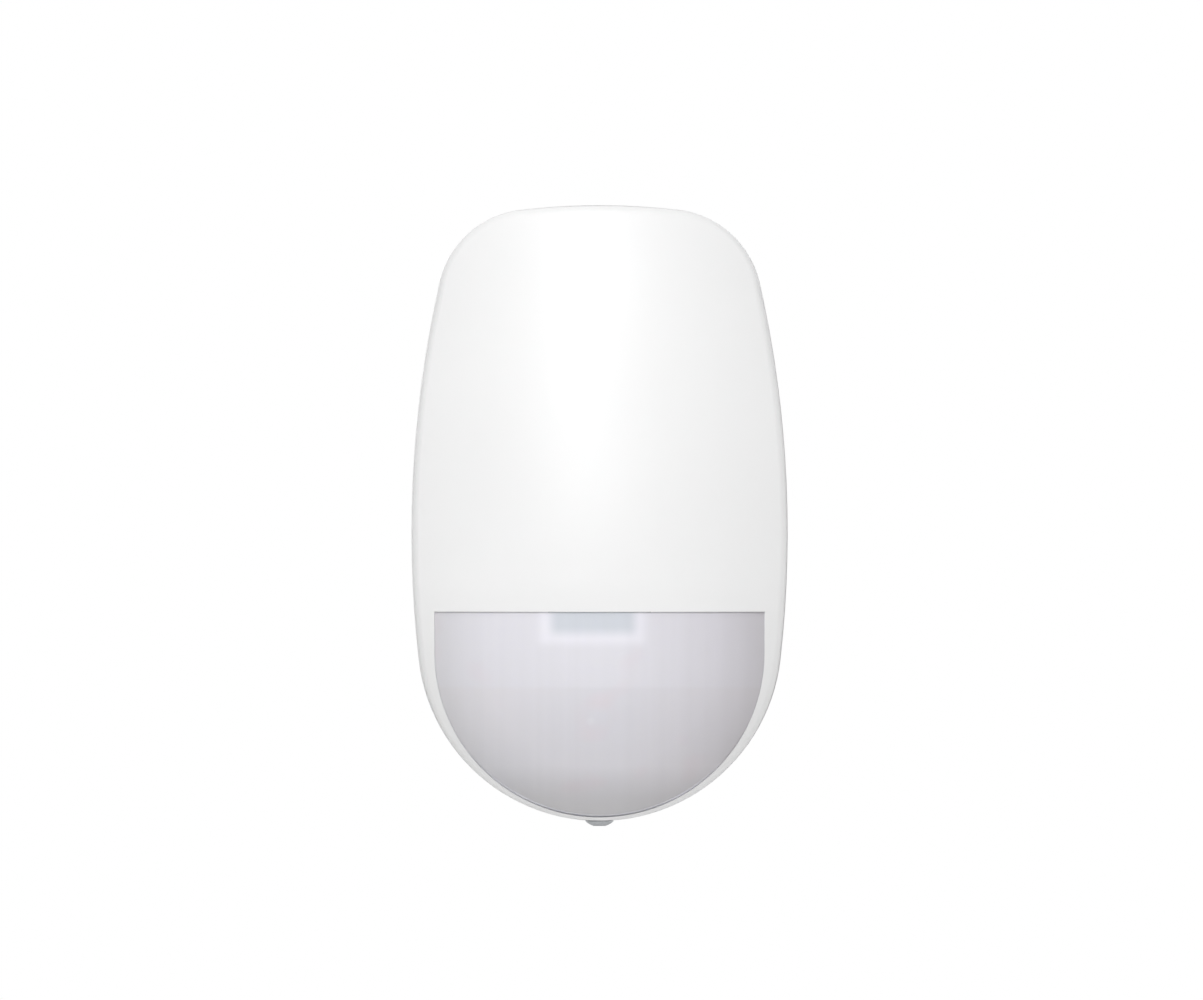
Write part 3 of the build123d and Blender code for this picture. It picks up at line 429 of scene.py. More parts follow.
def shrink_jacket():
    """PVC film, heat shrunk over the cell: dark grey with a paler end band and faint tight ripples."""
    sleeve, band, crimp = "#2B2E33", "#9AA0A6", "#C9C6BE"
    material, tree, shader, where = new_material(
        "PVC dark, heat shrunk", sleeve, 0.26, 1.53, extra={"Coat Weight": 0.3})
    low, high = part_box("battery_cell")
    axes = add(tree, "ShaderNodeSeparateXYZ", {"Vector": where})
    along = add(tree, "ShaderNodeMapRange", {
        "Value": axes.outputs["X"], "From Min": low.x, "From Max": high.x})
    tone = add(tree, "ShaderNodeValToRGB", {"Fac": along}, [
        (0.0, sleeve), (0.70, sleeve), (0.705, band), (0.965, band), (0.97, crimp)])
    ripples = add(tree, "ShaderNodeTexNoise", {"Vector": where, "Scale": 1 / (2.0 * MM), "Detail": 2.0})
    relief = add(tree, "ShaderNodeBump", {"Height": ripples, "Distance": 0.03 * MM, "Strength": 0.3})
    wire(tree, shader, {"Base Color": tone, "Normal": relief})
    return material


# ------------------------------------------------------------------ settings
class SensorHousingSettings(bpy.types.PropertyGroup):
    grit_mm: FloatProperty(name="Grit", description="Size of the moulded grain, in millimetres",
                           default=0.3, min=0.05, max=2.0)
    hollow_depth: FloatProperty(name="Hollow depth", description="Depth of the hollows in the wall face",
                                unit="LENGTH", default=0.8 * MM)


class SensorLensSettings(bpy.types.PropertyGroup):
    upper_hex: StringProperty(name="Upper colour", description="sRGB colour of the lens's top row",
                              default="#E6E5EB")
    lower_hex: StringProperty(name="Lower colour", description="sRGB colour of the lens below its top row",
                              default="#E5E3E8")
    top_row_foot: FloatProperty(name="Top row's foot", description="Height of the top row's lower edge",
                                unit="LENGTH", default=-29.9 * MM)
    middle_row_foot: FloatProperty(name="Middle row's foot", unit="LENGTH", default=-41.5 * MM,
                                   description="Height of the middle row's lower edge")
    ridge_pitch: FloatProperty(name="Ridge pitch", description="Distance between lens ridges", unit="LENGTH",
                               default=1.1 * MM)
    ridge_width: FloatProperty(name="Ridge width", description="Width of one lens ridge", unit="LENGTH",
                               default=0.22 * MM)
    skin: FloatProperty(name="Lens thickness", description="Outer to inner face of the lens", unit="LENGTH",
                        default=0.8 * MM)
    joint: FloatProperty(name="Joint", description="Width of the joint round the lens", unit="LENGTH",
                         default=0.07 * MM)
    bare_edge: FloatProperty(name="Bare edge", description="Width without ridges round the lens",
                             unit="LENGTH", default=1.9 * MM)


class SensorBoardSettings(bpy.types.PropertyGroup):
    part_pitch_x: FloatProperty(name="Part pitch across", description="Spacing of the small parts in a row",
                                unit="LENGTH", default=3.1 * MM)
    part_pitch_z: FloatProperty(name="Part pitch upright", description="Spacing of the rows of small parts",
                                unit="LENGTH", default=2.2 * MM)
    lead_pitch: FloatProperty(name="Lead pitch", description="Spacing of the leads of the flat chip",
                              unit="LENGTH", default=0.8 * MM)
    track_pitch: FloatProperty(name="Track pitch", description="Distance between parallel tracks",
                               unit="LENGTH", default=0.75 * MM)
    track_width: FloatProperty(name="Track width", description="Width of a copper track", unit="LENGTH",
                               default=0.3 * MM)
    bead: FloatProperty(name="Solder bead", description="Radius of a solder joint", unit="LENGTH",
                        default=0.75 * MM)


class SensorFastenerSettings(bpy.types.PropertyGroup):
    pitch: FloatProperty(name="Thread pitch", description="Pitch of the housing screw", unit="LENGTH",
                         default=0.5 * MM)
    thread_depth: FloatProperty(name="Thread depth", description="Crest to root of the thread", unit="LENGTH",
                                default=0.3 * MM)


class SensorStageSettings(bpy.types.PropertyGroup):
    distance: FloatProperty(name="Camera distance", unit="LENGTH", default=3.0,
                            description="From the lens of the camera to the wall plane")
    view_width: FloatProperty(name="View width", description="Width of what the camera sees at the wall",
                              unit="LENGTH", default=209.6 * MM)
    look_x: FloatProperty(name="View centre X", description="Sideways place of the view's centre",
                          unit="LENGTH", default=0.34 * MM)
    look_z: FloatProperty(name="View centre Z", description="Height of the view's centre",
                          unit="LENGTH", default=2.3 * MM)
    room_light: FloatProperty(name="Room light", description="Strength of the room's even light",
                              default=0.28, min=0.0, max=1.0)
    ceiling_light: FloatProperty(name="Ceiling light", description="Strength of the light straight overhead",
                                 default=0.8, min=0.0)
    key_watts: FloatProperty(name="Key light", description="Power of the main soft light, in watts",
                             default=17.6, min=0.0)
    bounce_watts: FloatProperty(name="Bounce light", default=0.95, min=0.0,
                                description="Power of the soft light from below, in watts")
    side_watts: FloatProperty(name="Side light", description="Power of the light from the left, in watts",
                              default=1.3, min=0.0)


# ------------------------------------------------------------------ pieces
def lens_ridges(settings):
    """Rows of round ridges on the lens's inner face, each column centred on its own focus."""
    tree, start = new_tree("Lens Ridges", {
        "Pitch": settings.ridge_pitch, "Width": settings.ridge_width,
        "Skin": settings.skin, "Bare Edge": settings.bare_edge})
    # upper edge, lower edge, columns
    rows = [(LENS_HIGH.z, settings.top_row_foot, 7), (settings.top_row_foot, settings.middle_row_foot, 5),
            (settings.middle_row_foot, LENS_LOW.z, 3)]
    joined = add(tree, "GeometryNodeJoinGeometry")
    for high, low, columns in rows:
        rings = int((high - low) / settings.ridge_pitch) + 3
        row = ridge_row(tree, start.outputs["Pitch"], rings, high, low, columns)
        tree.links.new(row.outputs[0], joined.inputs[0])
    # drop every point onto the outer face from the front, then move it through the skin
    axes = add(tree, "ShaderNodeSeparateXYZ", {"Vector": add(tree, "GeometryNodeInputPosition")})
    above = add(tree, "ShaderNodeCombineXYZ", {
        "X": axes.outputs["X"], "Y": RAY_START_Y, "Z": axes.outputs["Z"]})
    cast = add(tree, "GeometryNodeRaycast", {
        **TO_WALL, "Target Geometry": start.outputs["Geometry"], "Source Position": above})
    inward = add(tree, "ShaderNodeVectorMath", {
        "operation": "SCALE", 0: cast.outputs["Hit Normal"], "Scale": start.outputs["Skin"]})
    seat = add(tree, "ShaderNodeVectorMath", {
        "operation": "SUBTRACT", 0: cast.outputs["Hit Position"], 1: inward})
    placed = add(tree, "GeometryNodeSetPosition", {"Geometry": joined, "Position": seat})
    keep = inside_outline(tree, start.outputs["Bare Edge"])
    gone = add(tree, "FunctionNodeBooleanMath", {"operation": "NOT", 0: keep})
    lines = add(tree, "GeometryNodeDeleteGeometry", {"Geometry": placed, "Selection": gone})
    ridges = rod(tree, lines, start.outputs["Width"], 0.5, 5)
    settle(tree, ridges, lens_ridge_plastic(), "lens_ridges", "front",
           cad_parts["fresnel_lens"].data)


def ridge_row(tree, pitch, rings, high, low, columns):
    """Concentric rings cut to one segment's window, repeated along a row of the lens."""
    width = 2 * LENS_RADIUS / columns
    gap = 0.1 * MM
    # the rings' common centre sits a little under the window's middle
    centre = low + 0.45 * (high - low)
    ring = add(tree, "GeometryNodeMeshCircle", {"Vertices": 120, "Radius": 1.0})
    line = add(tree, "GeometryNodeMeshLine", {"Count": rings, "Offset": (0, 0, 0)})
    step = add(tree, "ShaderNodeMath", {"operation": "ADD", 0: add(tree, "GeometryNodeInputIndex"), 1: 1.0})
    reach = add(tree, "ShaderNodeMath", {"operation": "MULTIPLY", 0: step, 1: pitch})
    size = add(tree, "ShaderNodeCombineXYZ", {"X": reach, "Y": reach, "Z": reach})
    nest = add(tree, "GeometryNodeInstanceOnPoints", {"Points": line, "Instance": ring, "Scale": size})
    flat = add(tree, "GeometryNodeRealizeInstances", {"Geometry": nest})
    upright = add(tree, "GeometryNodeTransform", {"Geometry": flat, "Rotation": (math.radians(90), 0, 0)})
    axes = add(tree, "ShaderNodeSeparateXYZ", {"Vector": add(tree, "GeometryNodeInputPosition")})
    aside = add(tree, "ShaderNodeMath", {"operation": "ABSOLUTE", 0: axes.outputs["X"]})
    beside = add(tree, "ShaderNodeMath", {"operation": "GREATER_THAN", 0: aside, 1: width / 2 - gap})
    over = add(tree, "ShaderNodeMath", {
        "operation": "GREATER_THAN", 0: axes.outputs["Z"], 1: high - centre - gap})
    under = add(tree, "ShaderNodeMath", {
        "operation": "LESS_THAN", 0: axes.outputs["Z"], 1: low - centre + gap})
    beyond = add(tree, "ShaderNodeMath", {"operation": "MAXIMUM", 0: beside, 1: over})
    outside = add(tree, "ShaderNodeMath", {"operation": "MAXIMUM", 0: beyond, 1: under})
    window = add(tree, "GeometryNodeDeleteGeometry", {"Geometry": upright, "Selection": outside})
    posts = add(tree, "GeometryNodeMeshLine", {
        "Count": columns, "Start Location": (-width * (columns - 1) / 2, 0, centre), "Offset": (width, 0, 0)})
    row = add(tree, "GeometryNodeInstanceOnPoints", {"Points": posts, "Instance": window})
    return add(tree, "GeometryNodeRealizeInstances", {"Geometry": row})


def inside_outline(tree, margin):
    """True for points inside the lens's outline by at least the margin."""
    axes = add(tree, "ShaderNodeSeparateXYZ", {"Vector": add(tree, "GeometryNodeInputPosition")})
    away = add(tree, "ShaderNodeVectorMath", {"operation": "LENGTH", 0: from_middle(tree, axes)})
    tests = []
    for distance, limit in ((away, LENS_RADIUS), (axes.outputs["Z"], LENS_HIGH.z)):
        reach = add(tree, "ShaderNodeMath", {"operation": "ADD", 0: distance, 1: margin})
        tests.append(add(tree, "ShaderNodeMath", {"operation": "LESS_THAN", 0: reach, 1: limit}))
    return add(tree, "FunctionNodeBooleanMath", {"operation": "AND", 0: tests[0], 1: tests[1]})


def lens_seal(settings):
    """A thin milky bead in the joint round the lens's sides and foot, against draughts and insects."""
    reach = LENS_RADIUS + settings.joint / 2
    side_steps = 12
    step_z = (LENS_HIGH.z - LENS_CENTRE_Z) / side_steps
    right = [(reach, LENS_CENTRE_Z + step_z * step) for step in range(side_steps, 0, -1)]
    turns = [math.radians(degrees) for degrees in range(91)]
    right += [(reach * math.cos(turn), LENS_CENTRE_Z - reach * math.sin(turn)) for turn in turns]
    path = right + [(-x, z) for x, z in reversed(right[:-1])]
    mesh = bpy.data.meshes.new("lens_seal_line")
    mesh.from_pydata([(x, 0, z) for x, z in path], [(step, step + 1) for step in range(len(path) - 1)], [])
    tree, start = new_tree("Lens Seal", {"Joint": settings.joint})
    lens = add(tree, "GeometryNodeObjectInfo", {"Object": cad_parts["fresnel_lens"]})
    spot = add(tree, "GeometryNodeInputPosition")
    axes = add(tree, "ShaderNodeSeparateXYZ", {"Vector": spot})
    outward = add(tree, "ShaderNodeVectorMath", {"operation": "NORMALIZE", 0: from_middle(tree, axes)})
    # two points of the lens's face just inside its edge give the face's slope, which the bead carries on
    near_inset, far_inset = 0.15 * MM, 0.4 * MM
    hits = []
    for inset in (near_inset, far_inset):
        step = add(tree, "ShaderNodeVectorMath", {"operation": "SCALE", 0: outward, "Scale": -inset})
        inside = add(tree, "ShaderNodeVectorMath", {"operation": "ADD", 0: spot, 1: step})
        above = add(tree, "ShaderNodeVectorMath", {"operation": "ADD", 0: inside, 1: (0, RAY_START_Y, 0)})
        cast = add(tree, "GeometryNodeRaycast", {
            **TO_WALL, "Target Geometry": lens.outputs["Geometry"], "Source Position": above})
        hits.append(cast.outputs["Hit Position"])
    slope = add(tree, "ShaderNodeVectorMath", {"operation": "SUBTRACT", 0: hits[0], 1: hits[1]})
    ahead = add(tree, "ShaderNodeVectorMath", {
        "operation": "SCALE", 0: slope, "Scale": near_inset / (far_inset - near_inset)})
    edge = add(tree, "ShaderNodeVectorMath", {"operation": "ADD", 0: hits[0], 1: ahead})
    # the bead's middle lies half the joint's width behind the face
    sink = add(tree, "ShaderNodeVectorMath", {
        "operation": "SCALE", 0: (0, 0.5, 0), "Scale": start.outputs["Joint"]})
    seat = add(tree, "ShaderNodeVectorMath", {"operation": "ADD", 0: edge, 1: sink})
    moved = add(tree, "GeometryNodeSetPosition", {"Geometry": start.outputs["Geometry"], "Position": seat})
    bead = rod(tree, moved, start.outputs["Joint"], 0.8, 8)
    settle(tree, bead, milky_silicone(), "lens_seal", "front", mesh)


def domes(name, places, radius, height, material):
    """Low round domes on the board, one at each place, standing along Y."""
    tree, start = new_tree(name, {"Radius": radius, "Height": height})
    ball = add(tree, "GeometryNodeMeshUVSphere", {"Segments": 20, "Rings": 12, "Radius": 1.0})
    size = add(tree, "ShaderNodeCombineXYZ", {
        "X": start.outputs["Radius"], "Y": start.outputs["Height"], "Z": start.outputs["Radius"]})
    scatter(tree, start, ball, {"Scale": size}, material, name, "front", places)


def discs(name, places, radius, height, body, material):
    """Flat round pads or marks, one at each place, lying square to Y."""
    tree, start = new_tree(name, {"Radius": radius, "Height": height})
    pad = add(tree, "GeometryNodeMeshCylinder", {
        "Vertices": 28, "Radius": start.outputs["Radius"], "Depth": start.outputs["Height"]})
    scatter(tree, start, pad, {"Rotation": (math.radians(90), 0, 0)}, material, name, body, places)


def blocks(name, places, size, gap, material, upright=False):
    """Small blocks on the board, one at each place, or a pair either side of it when gap is over 0."""
    tree, start = new_tree(name, {"Size": size, "Gap": gap})
    cube = add(tree, "GeometryNodeMeshCube", {"Size": start.outputs["Size"]})
    joined = add(tree, "GeometryNodeJoinGeometry")
    for side in ((-1, 1) if gap else (0,)):
        shift = add(tree, "ShaderNodeMath", {"operation": "MULTIPLY", 0: start.outputs["Gap"], 1: side / 2})
        move = add(tree, "ShaderNodeCombineXYZ", {"X": shift})
        one = add(tree, "GeometryNodeTransform", {"Geometry": cube, "Translation": move})
        tree.links.new(one.outputs[0], joined.inputs[0])
    turn = math.radians(90) if upright else 0
    scatter(tree, start, joined, {"Rotation": (0, turn, 0)}, material, name, "front", places)


def free_spot(x, z, room, taken):
    """Whether a small part fits here on the board's rear, away from its edge and the larger parts."""
    foot_centre_z, foot_reach, half_height = -20 * MM, 24 * MM, 41.5 * MM
    in_outline = math.hypot(x, min(0.0, z - foot_centre_z)) < foot_reach and abs(z) < half_height
    apart = all(not (low.x - room < x < high.x + room and low.z - room < z < high.z + room)
                for low, high in taken)
    return in_outline and apart


def larger_parts():
    """Boxes of what already stands on the board's rear face."""
    names = ["tamper_switch_case", "enrol_switch_case", "battery_holder", "radio_shield", "pyro_header"]
    names += [f"board_screw_{number}" for number in range(1, 5)]
    return [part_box(name) for name in names]


def cluster_places(settings, taken):
    """Small parts in clusters; every second cluster has its parts upright."""
    # middle x, middle z (mm), columns, rows
    clusters = [(-17, 3, 4, 2), (-4, 2, 3, 3), (8, 2, 4, 2), (19, -4, 2, 4), (-20, -8, 3, 2),
                (-10, -13, 3, 3), (3, -13, 2, 4), (10, -22, 2, 2), (-9, -26, 3, 2), (-11, -36, 3, 1),
                (11, -35, 3, 2), (-15, 36, 3, 2), (15, 36, 3, 3)]
    room = 1.4 * MM
    flat, upright = [], []
    for number, (mid_x, mid_z, columns, rows) in enumerate(clusters):
        turned = number % 2 == 1
        step_x = settings.part_pitch_z if turned else settings.part_pitch_x
        step_z = settings.part_pitch_x if turned else settings.part_pitch_z
        for column in range(columns):
            for row in range(rows):
                x = mid_x * MM + (column - (columns - 1) / 2) * step_x
                z = mid_z * MM + (row - (rows - 1) / 2) * step_z
                # every fifth place stays bare
                if free_spot(x, z, room, taken) and (2 * column + 3 * row + number) % 5:
                    (upright if turned else flat).append(Vector((x, BOARD_HIGH.y, z)))
    return flat, upright


def board_tracks(settings, material):
    """Copper tracks under the solder mask: bundles that run straight with one slanted jog."""
    # start x, start z, first run, jog, last run (mm), tracks; runs are along Z, the jog is at 45 degrees
    bundles = [(-21, 7, -4, 2, -6, 3), (-16, 8, -6, 1, -2, 3), (-9, 8, -5, 3, -2, 4),
               (-6, -9, -3, -4, -8, 4), (6, 8, -6, 4, -4, 4), (10, -13, -2, -4, -8, 5),
               (20, 6, -10, -3, -8, 3), (-2, -26, -3, -3, -6, 3), (5, -27, -3, 2, -5.5, 3),
               (-13, 41, -3, 2, -2, 4), (10, 41, -2, 3, -2, 4), (-20, -24.5, -3, 3, -4, 4)]
    points, edges, ends = [], [], []
    for x, z, first, jog, last, count in bundles:
        for track in range(count):
            corners = [Vector((x * MM + track * settings.track_pitch, 0, z * MM))]
            for move_x, move_z in ((0, first), (jog, -abs(jog)), (0, last)):
                corners.append(corners[-1] + Vector((move_x * MM, 0, move_z * MM)))
            edges += [(len(points) + step, len(points) + step + 1) for step in range(3)]
            points += corners
            # the holes at the ends of neighbouring tracks are staggered, so that they don't touch
            stagger = Vector((0, 0, (track % 2) * 0.9 * MM))
            ends += [corners[0] - stagger, corners[-1] + stagger]
    mesh = bpy.data.meshes.new("board_tracks_lines")
    mesh.from_pydata([tuple(point) for point in points], edges, [])
    tree, start = new_tree("Board Tracks", {"Width": settings.track_width, "Face": BOARD_HIGH.y})
    rods = rod(tree, start.outputs["Geometry"], start.outputs["Width"], 0.5, 6)
    move = add(tree, "ShaderNodeCombineXYZ", {"Y": start.outputs["Face"]})
    flat = add(tree, "GeometryNodeTransform", {"Geometry": rods, "Translation": move, "Scale": (1, 0.25, 1)})
    settle(tree, flat, material, "board_tracks", "front", mesh)
    return [Vector((end.x, BOARD_HIGH.y, end.z)) for end in ends]


def chip_leads(settings, material):
    """Flat leads on the four sides of the large chip, from its waist out to the board."""
    low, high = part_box("microcontroller")
    mid_x, mid_z = (low.x + high.x) / 2, (low.z + high.z) / 2
    half = (high.x - low.x) / 2
    wide, thin = 0.34 * MM, 0.12 * MM
    foot_y = BOARD_LOW.y - thin / 2
    shoulder_y = foot_y - 0.4 * MM
    steps = range(-3, 4)
    # part of the lead, height, distance outside the chip, length, thickness
    runs = [("shoulder", shoulder_y, 0.25 * MM, 0.5 * MM, thin),
            ("leg", (foot_y + shoulder_y) / 2, 0.5 * MM, thin, 0.5 * MM),
            ("foot", foot_y, 0.75 * MM, 0.6 * MM, thin)]
    for label, y, beyond, long, thick in runs:
        out = half + beyond
        sides = [(mid_x + side * out, y, mid_z + step * settings.lead_pitch)
                 for side in (-1, 1) for step in steps]
        ends = [(mid_x + step * settings.lead_pitch, y, mid_z + side * out)
                for side in (-1, 1) for step in steps]
        blocks(f"chip_{label}_sides", sides, (long, thick, wide), 0.0, material)
        blocks(f"chip_{label}_ends", ends, (wide, thick, long), 0.0, material)


def small_chips(chip, solder, taken):
    """Two eight-lead chips and a quartz crystal on the board's rear."""
    middles = [Vector((-3.5 * MM, BOARD_HIGH.y, -5.5 * MM)), Vector((11.5 * MM, BOARD_HIGH.y, -9.5 * MM))]
    body, body_up = (3.9 * MM, 1.4 * MM, 4.9 * MM), 0.85 * MM
    bodies = [middle + Vector((0, body_up, 0)) for middle in middles]
    blocks("small_chip_bodies", bodies, body, 0.0, chip)
    lead_pitch, lead_wide = 1.27 * MM, 0.42 * MM
    foot, feet_apart, foot_up = (0.9 * MM, 0.2 * MM, lead_wide), 5.2 * MM, 0.12 * MM
    feet = [middle + Vector((0, foot_up, (step - 1.5) * lead_pitch))
            for middle in middles for step in range(4)]
    blocks("small_chip_feet", feet, foot, feet_apart, solder)
    knee, knees_apart, knee_up = (0.22 * MM, 0.7 * MM, lead_wide), 4.3 * MM, 0.35 * MM
    knees = [place + Vector((0, knee_up, 0)) for place in feet]
    blocks("small_chip_knees", knees, knee, knees_apart, solder)
    can, crystal = (3.2 * MM, 0.8 * MM, 2.5 * MM), Vector((-15 * MM, BOARD_HIGH.y + 0.45 * MM, -2.5 * MM))
    blocks("crystal_can", [crystal], can, 0.0, nickel_steel())
    room = Vector((3.2 * MM, 0, 3 * MM))
    taken += [(middle - room, middle + room) for middle in middles + [crystal]]


def joint_places():
    """Where leads and legs come through the board: sensor on the rear, switches on the front."""
    low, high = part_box("pyro_header")
    mid_x, mid_z = (low.x + high.x) / 2, (low.z + high.z) / 2
    lead_circle = 2.5 * MM
    spots = []
    for degrees in (45, 135, 270):
        turn = math.radians(degrees)
        out, up = lead_circle * math.cos(turn), lead_circle * math.sin(turn)
        spots.append((mid_x + out, BOARD_HIGH.y, mid_z + up))
    inset_x, inset_z = 0.5 * MM, 0.8 * MM
    for name in ("tamper_switch_case", "enrol_switch_case"):
        low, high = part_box(name)
        spots += [(x, BOARD_LOW.y, z) for x in (low.x + inset_x, high.x - inset_x)
                  for z in (low.z + inset_z, high.z - inset_z)]
    return spots


def lathe(name, centre, axis, rings, sides=48):
    """A closed solid of rings round an axis; each ring is (distance along it, radius or radius by angle)."""
    along = Vector(axis)
    across = Vector((1, 0, 0))
    upward = along.cross(across)
    mesh = bmesh.new()
    loops = []
    for distance, radius in rings:
        loop = []
        for index in range(sides):
            angle = 2 * math.pi * index / sides
            reach = radius(angle) if callable(radius) else radius
            offset = across * (math.cos(angle) * reach) + upward * (math.sin(angle) * reach)
            loop.append(mesh.verts.new(Vector(centre) + along * distance + offset))
        loops.append(loop)
    for lower, upper in zip(loops, loops[1:]):
        for index in range(sides):
            after = (index + 1) % sides
            mesh.faces.new((lower[index], lower[after], upper[after], upper[index]))
    mesh.faces.new(list(reversed(loops[0])))
    mesh.faces.new(loops[-1])
    bmesh.ops.recalc_face_normals(mesh, faces=mesh.faces)
    data = bpy.data.meshes.new(name)
    mesh.to_mesh(data)
    mesh.free()
    return data


def hexagon(flat_half):
    """Radius by angle of a six-sided socket."""
    return lambda angle: flat_half / math.cos((angle % (math.pi / 3)) - math.pi / 6)


def cross(arm_half, reach):
    """Radius by angle of a cross recess."""
    def radius(angle):
        c, s = abs(math.cos(angle)), abs(math.sin(angle))
        return max(min(reach / max(a, 1e-6), arm_half / max(b, 1e-6)) for a, b in ((c, s), (s, c)))
    return radius


def thread_ring(radius, depth, pitch, distance):
    """Radius by angle of a thread's crest and root at one height."""
    def at(angle):
        phase = (distance / pitch - angle / (2 * math.pi)) % 1.0
        return radius - depth * abs(2 * phase - 1)
    return at


def threaded_screw(settings, material):
    """The housing screw: domed head with a hex socket underneath, thread, ring groove and tip."""
    low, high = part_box("housing_screw")
    ring_low, ring_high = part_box("screw_retaining_ring")
    middle = ((low.x + high.x) / 2, (low.y + high.y) / 2, low.z)
    length = high.z - low.z
    head_r, shank_r, groove_r = (high.x - low.x) / 2, 1.5 * MM, 1.12 * MM
    socket, socket_depth = hexagon(0.95 * MM), 0.8 * MM
    head_h, head_rim, edge, hair = 1.1 * MM, 0.15 * MM, 0.05 * MM, 0.02 * MM
    dome_h = head_h - head_rim
    dome_r = (head_r * head_r + dome_h * dome_h) / (2 * dome_h)
    # the dome is cut flat where the socket opens
    flat_z, flat_r = 0.17 * MM, 1.12 * MM
    rings = [(socket_depth - hair, hair), (socket_depth, socket), (flat_z, socket), (flat_z * 0.9, flat_r)]
    dome_steps = 8
    for step in range(dome_steps + 1):
        depth = flat_z + (dome_h - flat_z) * step / dome_steps
        rings.append((depth, math.sqrt(depth * (2 * dome_r - depth))))
    rings += [(head_h - edge, head_r), (head_h, head_r - edge), (head_h, shank_r)]
    groove_from, groove_to = ring_low.z - edge - low.z, ring_high.z + edge - low.z
    rings_a_turn, tip = 8, 0.3 * MM
    for step in range(1, int((length - head_h - tip) / settings.pitch * rings_a_turn)):
        height = head_h + edge + step * settings.pitch / rings_a_turn
        in_groove = groove_from < height < groove_to
        thread = thread_ring(shank_r, settings.thread_depth, settings.pitch, height)
        rings.append((height, groove_r if in_groove else thread))
    rings += [(length - 0.1 * MM, 1.1 * MM), (length, 0.9 * MM)]
    data = lathe("housing_screw_dress", middle, (0, 0, 1), rings)
    data.materials.append(material)
    piece = finished("housing_screw_dress", data, "screw")
    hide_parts("housing_screw")


def board_screws(material):
    """Pan heads with cross recesses over plain shanks, one piece for the four board screws."""
    names = [f"board_screw_{number}" for number in range(1, 5)]
    head_h, shank_r, tip_r, tip = 1.5 * MM, 1.0 * MM, 0.6 * MM, 0.4 * MM
    round_z, round_r = 0.9 * MM, 0.85 * MM
    recess, recess_foot, recess_depth = cross(0.3 * MM, 1.15 * MM), cross(0.18 * MM, 0.6 * MM), 0.95 * MM
    whole = bmesh.new()
    for name in names:
        low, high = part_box(name)
        head_r, length = (high.x - low.x) / 2, high.y - low.y
        middle = ((low.x + high.x) / 2, high.y, (low.z + high.z) / 2)
        rings = [(recess_depth + 0.05 * MM, 0.05 * MM), (recess_depth, recess_foot), (0.0, recess)]
        for degrees in range(0, 91, 18):
            turn = math.radians(degrees)
            rings.append((round_z * (1 - math.cos(turn)), head_r - round_r * (1 - math.sin(turn))))
        rings += [(head_h, head_r), (head_h, shank_r), (length - tip, shank_r), (length, tip_r)]
        data = lathe(name + "_dress", middle, (0, -1, 0), rings)
        whole.from_mesh(data)
        bpy.data.meshes.remove(data)
    data = bpy.data.meshes.new("board_screw_heads")
    whole.to_mesh(data)
    whole.free()
    data.materials.append(material)
    piece = finished("board_screw_heads", data, "front")
    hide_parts(*names)


# ------------------------------------------------------------------ operators
class SENSOR_OT_housing(bpy.types.Operator):
    """Finish the front cover and the back plate"""
    bl_idname = "sensor.housing"
    bl_label = "Housing"

    def execute(self, context):
        settings = context.scene.sensor_housing
        plastic = white_abs(settings)
        dress("front_cover", plastic)
        dress("back_plate", plastic)
        floor_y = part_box("back_plate")[1].y - settings.hollow_depth
        places = [Vector((side * x * MM, floor_y, z * MM)) for side in (-1, 1)
                  for x, z in ((19, 15), (16, 38), (20, -15), (16, -35))]
        radius, height = 2.4 * MM, 0.36 * MM
        discs("ejector_marks", places, radius, height, "base", plastic)
        return {"FINISHED"}


class SENSOR_OT_lens(bpy.types.Operator):
    """Finish the lens, give its inner face its rows of ridges and seal its joint"""
    bl_idname = "sensor.lens"
    bl_label = "Lens"

    def execute(self, context):
        settings = context.scene.sensor_lens
        dress("fresnel_lens", milky_polyethylene(settings))
        lens_ridges(settings)
        lens_seal(settings)
        return {"FINISHED"}


class SENSOR_OT_guide(bpy.types.Operator):
    """Finish the light guide, its bezel, the sensor's hood and the status light"""
    bl_idname = "sensor.guide"
    bl_label = "Light guide"

    def execute(self, context):
        dress("light_guide", blue_grey_acrylic())
        white = inner_white()
        dress("guide_bezel", white)
        dress("sensor_hood", white)
        dress("status_led", clear_resin())
        return {"FINISHED"}


